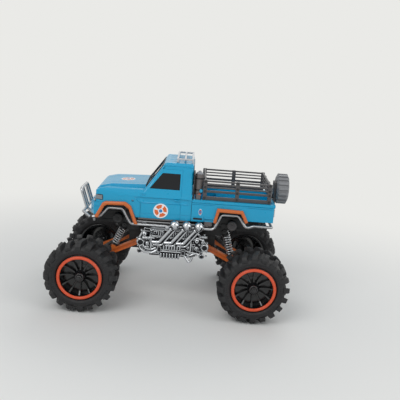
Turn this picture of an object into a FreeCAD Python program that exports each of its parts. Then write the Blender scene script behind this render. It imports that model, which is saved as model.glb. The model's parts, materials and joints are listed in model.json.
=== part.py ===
import FreeCAD, Part
import Sketcher
import math
import os
from types import SimpleNamespace

V = FreeCAD.Vector

# Toy monster truck: +X forward, +Y to its left, +Z up, in millimetres.
# The origin lies on the ground under the middle of the wheelbase.

SIZES = [
    # Wheels and their places
    ("wheel_base", 228.0),
    ("wheel_centre_y", 79.0),
    ("tyre_radius", 48.5),
    ("tyre_width", 48.0),
    ("lug_height", 6.0),
    ("lug_count", 20.0),
    ("lug_groove", 1.2),
    ("shoulder_drop", 3.0),
    ("bead_radius", 30.5),
    ("ring_radius", 29.5),
    ("ring_band", 4.0),
    ("ring_thick", 3.0),
    ("ring_sides", 20.0),
    ("rim_wall", 2.4),
    ("rim_gap", 0.1),
    ("hub_radius", 8.0),
    ("hub_nose_radius", 5.5),
    ("hub_nose", 9.0),
    ("hub_sides", 12.0),
    ("face_depth", 6.0),
    ("spoke_width", 2.2),
    ("spoke_thick", 3.0),
    ("spoke_count", 12.0),
    ("stub_radius", 3.0),
    ("running_gap", 0.08),
    # Axles, steering and links
    ("kingpin_y", 45.0),
    ("kingpin_radius", 2.0),
    ("knuckle_half", 6.5),
    ("knuckle_height", 18.0),
    ("ear_thick", 3.2),
    ("side_gap", 0.4),
    ("axle_tube_radius", 6.0),
    ("axle_sides", 12.0),
    ("diff_radius", 13.0),
    ("diff_sides", 16.0),
    ("steer_arm", 20.0),
    ("steer_arm_width", 7.0),
    ("steer_arm_thick", 3.6),
    ("steer_arm_drop", 6.5),
    ("tie_rod_radius", 1.4),
    ("tie_eye_thick", 3.4),
    ("tie_pin_radius", 1.5),
    ("link_y", 28.0),
    ("link_width", 8.0),
    ("link_height", 7.0),
    ("link_recess", 1.6),
    ("link_flange", 1.5),
    ("link_chassis_x", 40.0),
    ("link_chassis_z", 86.0),
    ("link_axle_x", 104.0),
    ("link_axle_z", 55.0),
    ("shock_front_x", 66.6),
    ("shock_rear_x", 74.4),
    ("shock_top_z", 104.4),
    ("shock_foot_front_x", 80.0),
    ("shock_foot_rear_x", 86.0),
    ("shock_foot_rise", 6.0),
    ("shock_body_radius", 3.6),
    ("shock_rod_radius", 1.6),
    ("shock_eye_radius", 3.4),
    ("shock_eye_width", 4.0),
    ("shock_cap_radius", 5.2),
    ("shock_cap_thick", 1.6),
    ("shock_sides", 8.0),
    ("spring_radius", 4.9),
    ("spring_wire", 0.75),
    ("spring_turns", 6.0),
    ("tower_half", 5.5),
    ("tower_top_z", 114.5),
    ("tower_lip", 0.5),
    ("tower_cap_radius", 6.5),
    ("tower_cap_shift", 9.0),
    ("tower_cap_rise", 10.5),
    ("pin_radius", 1.5),
    ("pin_sides", 8.0),
    ("shaft_radius", 2.6),
    # Chassis
    ("tub_front", 60.0),
    ("tub_rear", 62.0),
    ("tub_half", 43.0),
    ("tub_wide_front", 33.0),
    ("tub_wide_rear", 35.0),
    ("tub_neck", 19.0),
    ("tub_floor_z", 70.0),
    ("tub_top_z", 106.0),
    ("tub_wall", 2.5),
    ("cover_thick", 3.0),
    ("cover_margin", 4.0),
    ("battery_length", 58.0),
    ("battery_width", 36.0),
    ("battery_height", 20.0),
    ("frame_y", 19.0),
    ("frame_width", 5.0),
    ("frame_height", 8.0),
    ("frame_front", 108.0),
    ("frame_rear", 134.0),
    ("cross_length", 6.0),
    ("post_radius", 3.0),
    # Body
    ("body_half", 52.0),
    ("body_wall", 2.0),
    ("sill_z", 122.5),
    ("sill_tuck", 1.2),
    ("crease_z", 127.0),
    ("belt_z", 152.0),
    ("shoulder_z", 157.0),
    ("shoulder_lean", 1.2),
    ("wing_round", 4.0),
    ("wing_edge_z", 160.0),
    ("wing_top_z", 161.8),
    ("cab_rear", 25.0),
    ("cab_floor_thick", 2.5),
    ("bumper_front", 112.0),
    ("bumper_top_z", 141.5),
    ("bumper_bevel", 2.5),
    ("corner_start", 16.0),
    ("corner_middle", 5.0),
    ("corner_first_inset", 4.0),
    ("corner_inset", 14.0),
    ("nose_front", 104.5),
    ("nose_top_z", 160.5),
    ("nose_round", 4.0),
    ("cowl_z", 166.0),
    ("bonnet_break_x", 86.0),
    ("bonnet_break_z", 164.0),
    ("bonnet_rise", 2.2),
    ("bonnet_inset", 13.0),
    ("bonnet_flank", 3.0),
    ("glass_base_x", 42.9),
    ("roof_front", 13.4),
    ("roof_z", 199.0),
    ("roof_inset", 9.0),
    ("roof_round", 3.5),
    ("glass_set", 0.7),
    ("window_low_z", 163.5),
    ("window_high_z", 185.0),
    ("window_front_low", 33.0),
    ("window_front_high", 16.5),
    ("window_rear", 7.8),
    ("screen_low_inset", 10.0),
    ("screen_high_inset", 16.0),
    ("screen_low_z", 170.0),
    ("screen_high_z", 194.0),
    ("back_light_inset", 22.0),
    ("grille_inset", 16.0),
    ("grille_low_z", 143.0),
    ("grille_high_z", 155.0),
    ("grille_depth", 3.0),
    ("grille_margin", 0.6),
    ("slat_height", 1.4),
    ("slat_count", 4.0),
    ("lamp_width", 13.0),
    ("lamp_wrap", 10.0),
    ("lamp_low_z", 144.0),
    ("lamp_high_z", 150.0),
    ("lamp_proud", 0.4),
    # Cargo bed
    ("bed_gap", 0.6),
    ("bed_rear", 137.0),
    ("bed_tail_z", 128.0),
    ("bed_top_z", 153.0),
    ("bed_floor_z", 133.0),
    ("bed_wall", 2.5),
    ("bed_side", 5.5),
    ("house_inset", 15.0),
    ("ledge_z", 148.5),
    ("ledge_proud", 1.2),
    ("ledge_slope", 1.0),
    ("floor_rib", 0.8),
    ("floor_rib_count", 7.0),
    ("panel_margin", 14.0),
    ("panel_low_z", 133.0),
    ("panel_high_z", 146.0),
    ("panel_depth", 0.8),
    ("slot_front", 28.0),
    ("slot_rear", 42.0),
    ("slot_low_z", 125.4),
    ("slot_high_z", 127.6),
    # Wheel arches, flares and rails
    ("arch_front_x", 76.0),
    ("arch_rear_x", 79.5),
    ("flare_reach", 30.0),
    ("flare_low_z", 113.4),
    ("flare_rise", 30.1),
    ("flare_band", 5.0),
    ("flare_out", 4.5),
    ("flare_bevel", 1.2),
    ("tube_sides", 8.0),
    ("bend_steps", 2.0),
    ("rail_radius", 1.6),
    ("rail_inset", 5.0),
    ("rail_z", 112.0),
    ("rail_bend", 6.0),
    ("rail_upper_inset", 10.5),
    ("rail_upper_rise", 3.0),
    ("bracket_x", 38.0),
    ("bracket_length", 6.0),
    ("bar_y", 23.0),
    ("bar_inner_y", 10.0),
    ("bar_radius", 1.9),
    ("bar_foot_x", 112.0),
    ("bar_foot_z", 118.0),
    ("bar_low_x", 121.0),
    ("bar_low_z", 125.0),
    ("bar_top_x", 129.4),
    ("bar_top_z", 151.0),
    ("bar_bend", 5.0),
    ("bar_plate_thick", 3.0),
    # Engine relief on each side of the chassis
    ("engine_front", 47.0),
    ("engine_rear", 52.7),
    ("engine_low_z", 71.0),
    ("engine_high_z", 109.0),
    ("engine_plate", 3.0),
    ("block_front", 27.0),
    ("block_rear", 28.0),
    ("block_low_z", 80.0),
    ("block_high_z", 98.0),
    ("block_out", 5.0),
    ("cover_high_z", 107.0),
    ("cover_out", 8.0),
    ("cover_bevel", 1.8),
    ("header_radius", 2.1),
    ("header_first_x", 22.0),
    ("header_pitch", 16.5),
    ("header_low_z", 90.0),
    ("header_top_z", 117.5),
    ("header_rake", 26.0),
    ("header_out", 10.5),
    ("header_bend", 4.0),
    ("tip_radius", 4.2),
    ("tip_length", 7.0),
    ("pulley_radius", 5.6),
    ("pulley_bore", 3.0),
    ("pulley_out", 4.5),
    ("pulley_front", 41.4),
    ("pulley_rear", 47.0),
    ("pulley_z", 85.5),
    ("eye_radius", 3.2),
    ("eye_bore", 1.6),
    ("eye_front", 35.0),
    ("eye_rear", 42.0),
    ("eye_z", 74.0),
    ("canister_radius", 3.4),
    ("canister_x", 36.0),
    ("canister_z", 95.0),
    ("canister_out", 6.5),
    ("hose_radius", 1.4),
    ("sump_half", 16.0),
    ("sump_low_z", 67.0),
    ("sump_out", 7.0),
    ("rib_pitch", 4.5),
    ("rib_width", 1.8),
    ("rib_out", 1.2),
    # Bed rack, tank, spare wheel, lamps and roof rack
    ("rack_inset", 4.0),
    ("rack_thick", 3.0),
    ("rack_post", 5.4),
    ("rack_first_x", 41.7),
    ("rack_pitch", 43.7),
    ("rack_top_z", 180.0),
    ("rack_rail_low_z", 172.5),
    ("rack_slat_z", 165.0),
    ("rack_slat", 3.2),
    ("rack_base", 5.0),
    ("rack_gap", 2.6),
    ("tank_x", 33.2),
    ("tank_inset", 11.0),
    ("tank_radius", 5.6),
    ("tank_low_z", 158.0),
    ("tank_top_z", 187.8),
    ("tank_round", 2.0),
    ("tank_sides", 16.0),
    ("spare_x", 151.5),
    ("spare_z", 167.0),
    ("spare_radius", 21.4),
    ("spare_width", 17.0),
    ("spare_lug", 2.2),
    ("spare_lug_count", 18.0),
    ("spare_bore", 9.5),
    ("spare_knob_end", 162.0),
    ("spare_knob_radius", 5.0),
    ("spare_arm_half", 5.0),
    ("spare_plate", 3.0),
    ("tail_lamp_width", 6.0),
    ("tail_lamp_low_z", 137.0),
    ("tail_lamp_high_z", 146.0),
    ("tail_lamp_proud", 0.8),
    ("side_tank_front", 44.0),
    ("side_tank_rear", 54.6),
    ("side_tank_low_z", 115.7),
    ("side_tank_high_z", 127.8),
    ("side_tank_depth", 9.0),
    ("side_tank_bevel", 1.5),
    ("roof_rack_front", 1.0),
    ("roof_rack_rear", 24.0),
    ("roof_rack_inset", 16.0),
    ("roof_rack_rise", 6.0),
    ("roof_rack_tube", 2.6),
    ("overrun", 2.0),
]

# Outlines as shares of the sizes that they follow
FRONT_FLARE_SHARES = [
    (0.97, 0.22), (0.62, 0.90), (0.48, 0.97), (-0.41, 1.0), (-0.67, 0.82), (-1.0, 0.0),
]
REAR_FLARE_SHARES = [(0.79, 0.34), (0.64, 1.0), (-0.52, 0.97), (-0.79, 0.46)]
ENGINE_SHARES = [
    (0.02, 0.45), (0.10, 0.78), (0.22, 1.0), (0.80, 1.0), (0.93, 0.84),
    (1.0, 0.45), (0.90, 0.12), (0.76, 0.0), (0.26, 0.0), (0.08, 0.14),
]
BALL_SHARES = [(0.55, 0.0), (0.9, 0.2), (1.0, 0.5), (0.9, 0.8), (0.5, 1.0)]
RECESS_SHARES = (0.14, 0.9)
BEVEL_SHARE = math.tan(math.pi / 8)
CYLINDERS = 3


class Size:
    """A number that keeps the formula tying it to the sheet."""

    def __init__(self, value, formula):
        self.value = float(value)
        self.formula = formula

    def __float__(self):
        return self.value

    def __int__(self):
        return int(self.value)

    def __neg__(self):
        return worked(0, "-", self, -self.value)

    def __add__(self, other):
        return worked(self, "+", other, self.value + float(other))

    def __radd__(self, other):
        return worked(other, "+", self, float(other) + self.value)

    def __sub__(self, other):
        return worked(self, "-", other, self.value - float(other))

    def __rsub__(self, other):
        return worked(other, "-", self, float(other) - self.value)

    def __mul__(self, other):
        return worked(self, "*", other, self.value * float(other))

    def __rmul__(self, other):
        return worked(other, "*", self, float(other) * self.value)

    def __truediv__(self, other):
        return worked(self, "/", other, self.value / float(other))


def formula(number):
    return number.formula if isinstance(number, Size) else repr(float(number))


def worked(first, sign, second, value):
    return Size(value, "(%s %s %s)" % (formula(first), sign, formula(second)))


doc = FreeCAD.newDocument("monster_truck")
sheet = doc.addObject("Spreadsheet::Sheet", "sizes")
for row, (alias, value) in enumerate(SIZES, start=1):
    sheet.set("A%d" % row, alias)
    sheet.set("B%d" % row, str(value))
    sheet.setAlias("B%d" % row, alias)
doc.recompute()
s = SimpleNamespace(**{alias: Size(sheet.get(alias), "sizes." + alias) for alias, _ in SIZES})

# Places worked out from the driving sizes
axle_x = s.wheel_base / 2
axle_z = s.tyre_radius
carcass_radius = s.tyre_radius - s.lug_height
wheel_inner_y = s.wheel_centre_y - s.tyre_width / 2
wheel_outer_y = s.wheel_centre_y + s.tyre_width / 2
rim_edge = s.tyre_width / 2 - s.shoulder_drop
stub_end_y = wheel_outer_y - s.face_depth
frame_low_z = s.tub_top_z
frame_top_z = s.tub_top_z + s.frame_height
frame_inner_y = s.frame_y - s.frame_width / 2
frame_outer_y = s.frame_y + s.frame_width / 2
bed_front_x = -s.cab_rear - s.bed_gap
rail_y = s.body_half - s.rail_inset
tail_rail_z = s.sill_z - s.rail_radius - s.side_gap

TURNS = {
    "X": FreeCAD.Rotation(V(0, 1, 0), 90),
    "Y": FreeCAD.Rotation(V(1, 0, 0), -90),
    "Z": FreeCAD.Rotation(),
}
nodes = {}


# Document objects tied to the sheet
def tied(kind, name, sizes):
    item = doc.addObject(kind, name)
    for prop, size in sizes.items():
        item.setExpression(prop, formula(size))
    return item


def span_of(pair):
    low, high = sorted(pair, key=float)
    return low, high - low


def block(x_pair, y_pair, z_pair):
    """A box between two distances along each axis."""
    (x, length), (y, width), (z, height) = span_of(x_pair), span_of(y_pair), span_of(z_pair)
    return tied("Part::Box", "block", {
        "Length": length, "Width": width, "Height": height,
        "Placement.Base.x": x, "Placement.Base.y": y, "Placement.Base.z": z,
    })


def along(item, axis, start, place):
    """Turns an item from Z to the axis, and sets its start and its place on the other two axes."""
    item.Placement.Rotation = TURNS[axis]
    others = iter(place)
    for name in "xyz":
        size = start if name == axis.lower() else next(others)
        item.setExpression("Placement.Base." + name, formula(size))
    return item


def pin(axis, span, place, radius):
    """A round pin along an axis, at its place on the other two."""
    start, length = span_of(span)
    return along(tied("Part::Cylinder", "pin", {"Radius": radius, "Height": length}), axis, start, place)


def many_sided(axis, span, place, radius, sides):
    start, length = span_of(span)
    item = tied("Part::Prism", "boss", {"Circumradius": radius, "Height": length, "Polygon": sides})
    return along(item, axis, start, place)


def draw(sketch, points):
    """Lines through the points, each held to the sheet by its two distances from the origin."""
    for start, end in zip(points, points[1:] + points[:1]):
        sketch.addGeometry(Part.LineSegment(V(start[0], start[1], 0), V(end[0], end[1], 0)))
    count = len(points)
    for index, (across, up) in enumerate(points):
        sketch.addConstraint(Sketcher.Constraint("Coincident", (index - 1) % count, 2, index, 1))
        for kind, size in (("DistanceX", across), ("DistanceY", up)):
            number = sketch.addConstraint(Sketcher.Constraint(kind, -1, 1, index, 1, float(size)))
            sketch.setExpression("Constraints[%d]" % number, formula(size))


def slab(plane, points, span):
    """A body padded from an outline on one of its planes, between two distances from that plane."""
    start, length = span_of(span)
    body = doc.addObject("PartDesign::Body", "slab")
    sketch = body.newObject("Sketcher::SketchObject", "outline")
    face = next(item for item in body.Origin.OriginFeatures if item.Role == plane + "_Plane")
    sketch.AttachmentSupport = [(face, "")]
    sketch.MapMode = "FlatFace"
    # The XZ plane looks along -Y, so its pad runs down from the far side
    offset = -(start + length) if plane == "XZ" else start
    sketch.setExpression("AttachmentOffset.Base.z", formula(offset))
    draw(sketch, points)
    pad = body.newObject("PartDesign::Pad", "pad")
    pad.Profile = sketch
    pad.setExpression("Length", formula(length))
    return body


def bevelled(body, size, chosen):
    """Chamfers the edges of a body that the test picks."""
    doc.recompute()
    base = body.Tip
    edges = ["Edge%d" % number for number, edge in enumerate(base.Shape.Edges, start=1) if chosen(edge)]
    chamfer = body.newObject("PartDesign::Chamfer", "bevel")
    chamfer.Base = (base, edges)
    chamfer.setExpression("Size", formula(size))
    return body


def form(shape, place=None):
    """A shape worked out point by point, where no primitive or sketch fits."""
    item = doc.addObject("Part::Feature", "form")
    item.Shape = shape
    if place is not None:
        item.Placement = FreeCAD.Placement(place, FreeCAD.Rotation())
    return item


def joined(items):
    item = doc.addObject("Part::MultiFuse", "joined")
    item.Shapes = items
    item.Refine = True
    return item


def common(items):
    item = doc.addObject("Part::MultiCommon", "common")
    item.Shapes = items
    item.Refine = True
    return item


def less(base, tools):
    for tool in tools:
        item = doc.addObject("Part::Cut", "less")
        item.Base = base
        item.Tool = tool
        item.Refine = True
        base = item
    return base


def opposite(item):
    """The same on the truck's other side."""
    mirror = doc.addObject("Part::Mirroring", "opposite")
    mirror.Source = item
    mirror.Normal = V(0, 1, 0)
    return mirror


def apart(items):
    """Solids of one sub-part that don't touch."""
    group = doc.addObject("Part::Compound", "apart")
    group.Links = items
    return group


def both_sides(item):
    return apart([item, opposite(item)])


def four_corners(build):
    return apart([both_sides(build(1)), both_sides(build(-1))])


def keep(name, item):
    item.Label = name
    nodes[name] = item


# Shapes of flat faces
def bar_outline(line, half):
    """The corners of a straight bar round a line of two points."""
    start, finish = line
    way = V(finish[0] - start[0], finish[1] - start[1], 0).normalize()
    side = V(-way.y, way.x, 0) * float(half)
    near = [(across + side.x, up + side.y) for across, up in line]
    far = [(across - side.x, up - side.y) for across, up in line]
    return near + far[::-1]


def partway(line, share):
    start, finish = line
    return tuple(a + (b - a) * share for a, b in zip(start, finish))


def faceted(rings, closed):
    """A solid with flat faces between successive rings, capped at its ends unless it closes on itself."""
    faces = []
    pairs = list(zip(rings, rings[1:]))
    if closed:
        pairs.append((rings[-1], rings[0]))
    else:
        for ring in (rings[0][::-1], rings[-1]):
            faces.append(Part.Face(Part.makePolygon(ring + ring[:1])))
    for low, high in pairs:
        for index in range(len(low)):
            after = (index + 1) % len(low)
            corners = [low[index], low[after], high[after], high[index]]
            faces.append(Part.Face(Part.makePolygon(corners + corners[:1])))
    solid = Part.Solid(Part.Shell(faces))
    if solid.Volume < 0:
        solid.reverse()
    return solid


def turned(section, sides, centre, axis, closed=True):
    """A many-sided turned form: a section of (radius, along) points swept round the axis."""
    turn = FreeCAD.Rotation(V(0, 0, 1), axis)
    step = 2 * math.pi / int(sides)
    rings = []
    for radius, reach in section:
        corners = [(radius * math.cos((k + 1 / 2) * step), radius * math.sin((k + 1 / 2) * step))
                   for k in range(int(sides))]
        rings.append([centre + turn.multVec(V(x, y, reach)) for x, y in corners])
    return faceted(rings, closed)


def toothed(outlines, count):
    """A ring about Y of flat-faced wedges, whose outlines of (along, radius) points take turns."""
    step = 2 * math.pi / count
    # The radii are those of the flats, so the edges between them lie a little further out
    tilt = math.tan(step / 2)
    wedges = []
    for index in range(count):
        turn = FreeCAD.Rotation(V(0, 1, 0), math.degrees(step) * index)
        rings = []
        for side in (-tilt, tilt):
            outline = outlines[index % len(outlines)]
            rings.append([turn.multVec(V(radius * side, reach, radius)) for reach, radius in outline])
        wedges.append(faceted(rings, False))
    return wedges[0].fuse(wedges[1:]).removeSplitter()


def bent_line(points, bend):
    """The points of straight runs whose corners are rounded in a few short steps."""
    line = [points[0]]
    steps = int(s.bend_steps)
    for before, corner, after in zip(points, points[1:], points[2:]):
        incoming = (corner - before).normalize()
        outgoing = (after - corner).normalize()
        turn = incoming.getAngle(outgoing)
        first = corner - incoming * (bend * math.tan(turn / 2))
        inward = (outgoing - incoming).normalize()
        centre = corner + inward * (bend / math.cos(turn / 2))
        axis = incoming.cross(outgoing)
        for step in range(steps + 1):
            rotation = FreeCAD.Rotation(axis, math.degrees(turn) * step / steps)
            line.append(centre + rotation.multVec(first - centre))
    line.append(points[-1])
    return line


def tube(points, radius, bend=None):
    """A tube of a few flats, mitred at each step of its bends."""
    way = points[1] - points[0]
    turn = FreeCAD.Rotation(V(0, 0, 1), way)
    step = 2 * math.pi / int(s.tube_sides)
    corners = []
    for index in range(int(s.tube_sides)):
        corner = V(radius * math.cos(index * step), radius * math.sin(index * step), 0)
        corners.append(points[0] + turn.multVec(corner))
    profile = Part.makePolygon(corners + corners[:1])
    line = points if bend is None else bent_line(points, float(bend))
    return form(Part.makePolygon(line).makePipeShell([profile], True, True, 1))


def flare_points(arch_x, shares, inset=0):
    """The line of a flare, from its front foot over the arch to its rear foot, inside its outer edge."""
    reach = s.flare_reach - inset
    rise = s.flare_rise - inset
    return [(arch_x + a * reach, s.flare_low_z + b * rise) for a, b in shares]


# Chassis: a tub with narrow necks, its cover, the battery and two frame rails
def tub_plan(inset):
    half = s.tub_half - inset
    neck = s.tub_neck - inset
    right = [
        (s.tub_front - inset, neck), (s.tub_wide_front - inset, neck), (s.tub_wide_front - inset, half),
        (-s.tub_wide_rear + inset, half), (-s.tub_wide_rear + inset, neck), (-s.tub_rear + inset, neck),
    ]
    return right + [(x, -y) for x, y in reversed(right)]


def chassis_tray():
    outer = slab("XY", tub_plan(0), (s.tub_floor_z, s.tub_top_z))
    inner = slab("XY", tub_plan(s.tub_wall), (s.tub_floor_z + s.tub_wall, s.tub_top_z + s.overrun))
    root = s.tub_neck - s.tub_wall
    pin_end = s.link_y + s.link_width / 2
    boss_end = s.link_y - s.link_width / 2 - s.side_gap
    pivots = []
    for x in (s.link_chassis_x, -s.link_chassis_x):
        for side in (-1, 1):
            place = (x, s.link_chassis_z)
            pin_span = (side * root, side * pin_end)
            boss_span = (side * root, side * boss_end)
            pivots.append(many_sided("Y", pin_span, place, s.pin_radius, s.pin_sides))
            pivots.append(many_sided("Y", boss_span, place, s.link_height / 2, s.axle_sides))
    return joined([less(outer, [inner])] + pivots)


keep("chassis_tray", chassis_tray())

cover_half = s.tub_half - s.cover_margin
cover_x = (-s.tub_wide_rear + s.cover_margin, s.tub_wide_front - s.cover_margin)
cover_z = (s.tub_floor_z - s.cover_thick, s.tub_floor_z)
keep("battery_cover", block(cover_x, (-cover_half, cover_half), cover_z))

battery_x = (-s.battery_length / 2, s.battery_length / 2)
battery_y = (-s.battery_width / 2, s.battery_width / 2)
battery_low = s.tub_floor_z + s.tub_wall
keep("battery_pack", block(battery_x, battery_y, (battery_low, battery_low + s.battery_height)))


def chassis_frame():
    z_pair = (frame_low_z, frame_top_z)
    rail = block((-s.frame_rear, s.frame_front), (frame_inner_y, frame_outer_y), z_pair)
    parts = [rail, opposite(rail)]
    for x in (s.frame_front - s.cross_length, s.link_chassis_x, -s.link_chassis_x, -s.frame_rear):
        parts.append(block((x, x + s.cross_length), (-frame_inner_y, frame_inner_y), z_pair))
    under_cab = (frame_top_z, s.sill_z - s.cab_floor_thick)
    under_bed = (frame_top_z, s.bed_floor_z - s.bed_wall)
    for x, span in (
        (-s.cab_rear / 2, under_cab), (s.link_chassis_x - s.cross_length, under_cab),
        (-s.arch_rear_x + s.flare_reach / 2, under_bed), (-s.bed_rear + s.flare_reach / 2, under_bed),
    ):
        for side in (-1, 1):
            parts.append(many_sided("Z", span, (x, side * s.frame_y), s.post_radius, s.pin_sides))
    return joined(parts)


keep("chassis_frame", chassis_frame())


# Axle housings: tube, round diff, and the yokes for the kingpins in front
def axle_core(end, tube_end):
    x = end * axle_x
    tube_part = many_sided("Y", (-tube_end, tube_end), (x, axle_z), s.axle_tube_radius, s.axle_sides)
    round_shares = [(0.5, -0.87), (0.87, -0.5), (1.0, 0.0), (0.87, 0.5), (0.5, 0.87)]
    section = [(s.diff_radius * share, s.diff_radius * reach) for share, reach in round_shares]
    diff = form(turned(section, s.diff_sides, V(x, 0, axle_z), V(0, 1, 0), False))
    parts = [tube_part, diff]
    for side in (-1, 1):
        y_pair = (side * (s.link_y - s.link_width / 2), side * (s.link_y + s.link_width / 2))
        parts.append(block((end * s.link_axle_x, x), y_pair, (axle_z, s.link_axle_z - s.link_height / 2)))
    return parts


def yoke():
    """The fork at the end of the front axle that holds the knuckle from above and below."""
    half = s.knuckle_height / 2 + s.side_gap
    web_y = s.kingpin_y - s.knuckle_half - s.side_gap - s.ear_thick
    x_pair = (axle_x - s.knuckle_half, axle_x + s.knuckle_half)
    reach = half + s.ear_thick
    parts = [block(x_pair, (web_y, web_y + s.ear_thick), (axle_z - reach, axle_z + reach))]
    for sign in (-1, 1):
        z_pair = (axle_z + sign * half, axle_z + sign * reach)
        parts.append(block(x_pair, (web_y, s.kingpin_y), z_pair))
        parts.append(many_sided("Z", z_pair, (axle_x, s.kingpin_y), s.knuckle_half, s.axle_sides))
    bore_span = (axle_z - s.knuckle_height, axle_z + s.knuckle_height)
    bore = pin("Z", bore_span, (axle_x, s.kingpin_y), s.kingpin_radius + s.running_gap)
    return less(joined(parts), [bore])


def front_axle_housing():
    fork = yoke()
    core = axle_core(1, s.kingpin_y - s.knuckle_half - s.side_gap)
    return joined(core + [fork, opposite(fork)])


def rear_axle_housing():
    core = axle_core(-1, wheel_inner_y - s.knuckle_half)
    return joined(core + [pin("Y", (-stub_end_y, stub_end_y), (-axle_x, axle_z), s.stub_radius)])


housings = {1: front_axle_housing(), -1: rear_axle_housing()}
keep("front_axle_housing", housings[1])
keep("rear_axle_housing", housings[-1])


# Link arms from the chassis down to the axles, with a lug for each shock's foot
def shock_ends(end):
    foot_x = s.shock_foot_front_x if end > 0 else s.shock_foot_rear_x
    top_x = s.shock_front_x if end > 0 else s.shock_rear_x
    share = (foot_x - s.link_chassis_x) / (s.link_axle_x - s.link_chassis_x)
    arm_z = s.link_chassis_z + (s.link_axle_z - s.link_chassis_z) * share
    return V(end * foot_x, s.link_y, arm_z + s.shock_foot_rise), V(end * top_x, s.link_y, s.shock_top_z)


def link_arm(end):
    line = [(end * s.link_chassis_x, s.link_chassis_z), (end * s.link_axle_x, s.link_axle_z)]
    y_pair = (s.link_y - s.link_width / 2, s.link_y + s.link_width / 2)
    parts = [slab("XZ", bar_outline(line, s.link_height / 2), y_pair)]
    for place in line:
        parts.append(many_sided("Y", y_pair, place, s.link_height / 2, s.axle_sides))
    foot, _ = shock_ends(end)
    parts.append(many_sided("Y", y_pair, (foot.x, foot.z), s.shock_eye_radius, s.axle_sides))
    parts.append(block((foot.x - s.shock_eye_radius, foot.x + s.shock_eye_radius), y_pair,
                       (foot.z, foot.z - s.shock_foot_rise)))
    slot_half = s.shock_eye_width / 2 + s.side_gap / 2
    slot = block((foot.x - s.link_width, foot.x + s.link_width), (s.link_y - slot_half, s.link_y + slot_half),
                 (foot.z - s.shock_eye_radius - s.side_gap / 2, foot.z + s.link_width))
    bore = many_sided("Y", (0, s.link_y + s.link_width), line[0], s.pin_radius + s.running_gap, s.pin_sides)
    # A long recess in the outer face leaves a flange round the arm
    ends = [partway(line, share) for share in RECESS_SHARES]
    recess = slab("XZ", bar_outline(ends, s.link_height / 2 - s.link_flange),
                  (y_pair[1] - s.link_recess, y_pair[1] + s.overrun))
    return less(joined(parts), [slot, bore, recess])


keep("link_arms", four_corners(link_arm))


# Shocks: damper body, rod and eyes, and the coil round them
def shock_placement(end):
    foot, top = shock_ends(end)
    return FreeCAD.Placement(foot, FreeCAD.Rotation(V(0, 0, 1), top - foot)), (top - foot).Length


def shock_body(end):
    placement, length = shock_placement(end)
    eye = float(s.shock_eye_radius)
    cap = float(s.shock_cap_thick)
    section = [
        (s.shock_rod_radius, 0), (s.shock_rod_radius, eye), (s.shock_cap_radius, eye),
        (s.shock_cap_radius, eye + cap), (s.shock_rod_radius, eye + cap), (s.shock_rod_radius, length / 2),
        (s.shock_body_radius, length / 2), (s.shock_body_radius, length - eye - cap),
        (s.shock_cap_radius, length - eye - cap), (s.shock_cap_radius, length - eye),
        (s.shock_rod_radius, length - eye), (s.shock_rod_radius, length),
    ]
    damper = form(turned(section, s.shock_sides, V(0, 0, 0), V(0, 0, 1), False))
    damper.Placement = placement
    y_pair = (s.link_y - s.shock_eye_width / 2, s.link_y + s.shock_eye_width / 2)
    parts = [damper]
    foot, top = shock_ends(end)
    for point in (foot, top):
        parts.append(many_sided("Y", y_pair, (point.x, point.z), s.shock_eye_radius, s.axle_sides))
    bore_y = (0, s.link_y + s.link_width)
    bore = many_sided("Y", bore_y, (top.x, top.z), s.pin_radius + s.running_gap, s.pin_sides)
    return less(joined(parts), [bore])


def shock_spring(end):
    placement, length = shock_placement(end)
    low = float(s.shock_eye_radius + s.shock_cap_thick)
    high = length - low
    turns = int(s.spring_turns)
    pitch = (high - low) / turns
    bore = s.shock_body_radius + s.side_gap / 2
    points = [(bore, low), (bore, high)]
    for index in reversed(range(turns)):
        base = low + index * pitch
        points.append((s.spring_radius - s.spring_wire, base + pitch))
        points.append((s.spring_radius + s.spring_wire, base + pitch / 2))
    points.append((s.spring_radius - s.spring_wire, low))
    coil = form(turned(points, s.shock_sides, V(0, 0, 0), V(0, 0, 1)))
    coil.Placement = placement
    return coil


keep("shock_bodies", four_corners(shock_body))
keep("shock_springs", four_corners(shock_spring))


# Shock towers: a plate inside each shock with its pin, the arch across and the round cap
def shock_tower(end):
    _, top = shock_ends(end)
    outer_y = s.link_y - s.shock_eye_width / 2 - s.side_gap
    pin_end = s.link_y + s.shock_eye_width
    cap_x = top.x + end * s.tower_cap_shift
    x_pair = (top.x - end * s.tower_half, cap_x + end * s.tower_half)
    cap_place = (cap_x, s.shock_top_z + s.tower_cap_rise)
    side = joined([
        block(x_pair, (frame_outer_y, outer_y), (frame_low_z, s.tower_top_z)),
        block((top.x - s.pin_radius * 2, top.x + s.pin_radius * 2), (frame_outer_y, outer_y),
              (s.shock_top_z - s.pin_radius - s.tower_lip, frame_low_z)),
        many_sided("Y", (frame_outer_y, pin_end), (top.x, s.shock_top_z), s.pin_radius, s.pin_sides),
        many_sided("Y", (frame_outer_y, pin_end), cap_place, s.tower_cap_radius, s.diff_sides),
    ])
    bridge = block(x_pair, (-outer_y, outer_y), (frame_top_z, frame_top_z + s.tower_lip * 2))
    return joined([side, opposite(side), bridge])


keep("shock_towers", apart([shock_tower(1), shock_tower(-1)]))


def drive_shaft(end):
    neck_x = end * (s.tub_front if end > 0 else s.tub_rear)
    start = V(neck_x, 0, (s.tub_floor_z + s.tub_top_z) / 2)
    finish = V(end * (axle_x - s.diff_radius / 2), 0, axle_z + s.diff_radius / 2)
    way = finish - start
    reach = float(s.shaft_radius)
    section = [(s.shaft_radius, -reach), (s.shaft_radius, way.Length + reach)]
    shaft = form(turned(section, s.axle_sides, start, way, False))
    tub = block((0, neck_x), (-s.tub_neck, s.tub_neck), (s.tub_floor_z, s.tub_top_z))
    return less(shaft, [tub, housings[end]])


keep("drive_shafts", apart([drive_shaft(1), drive_shaft(-1)]))


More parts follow.
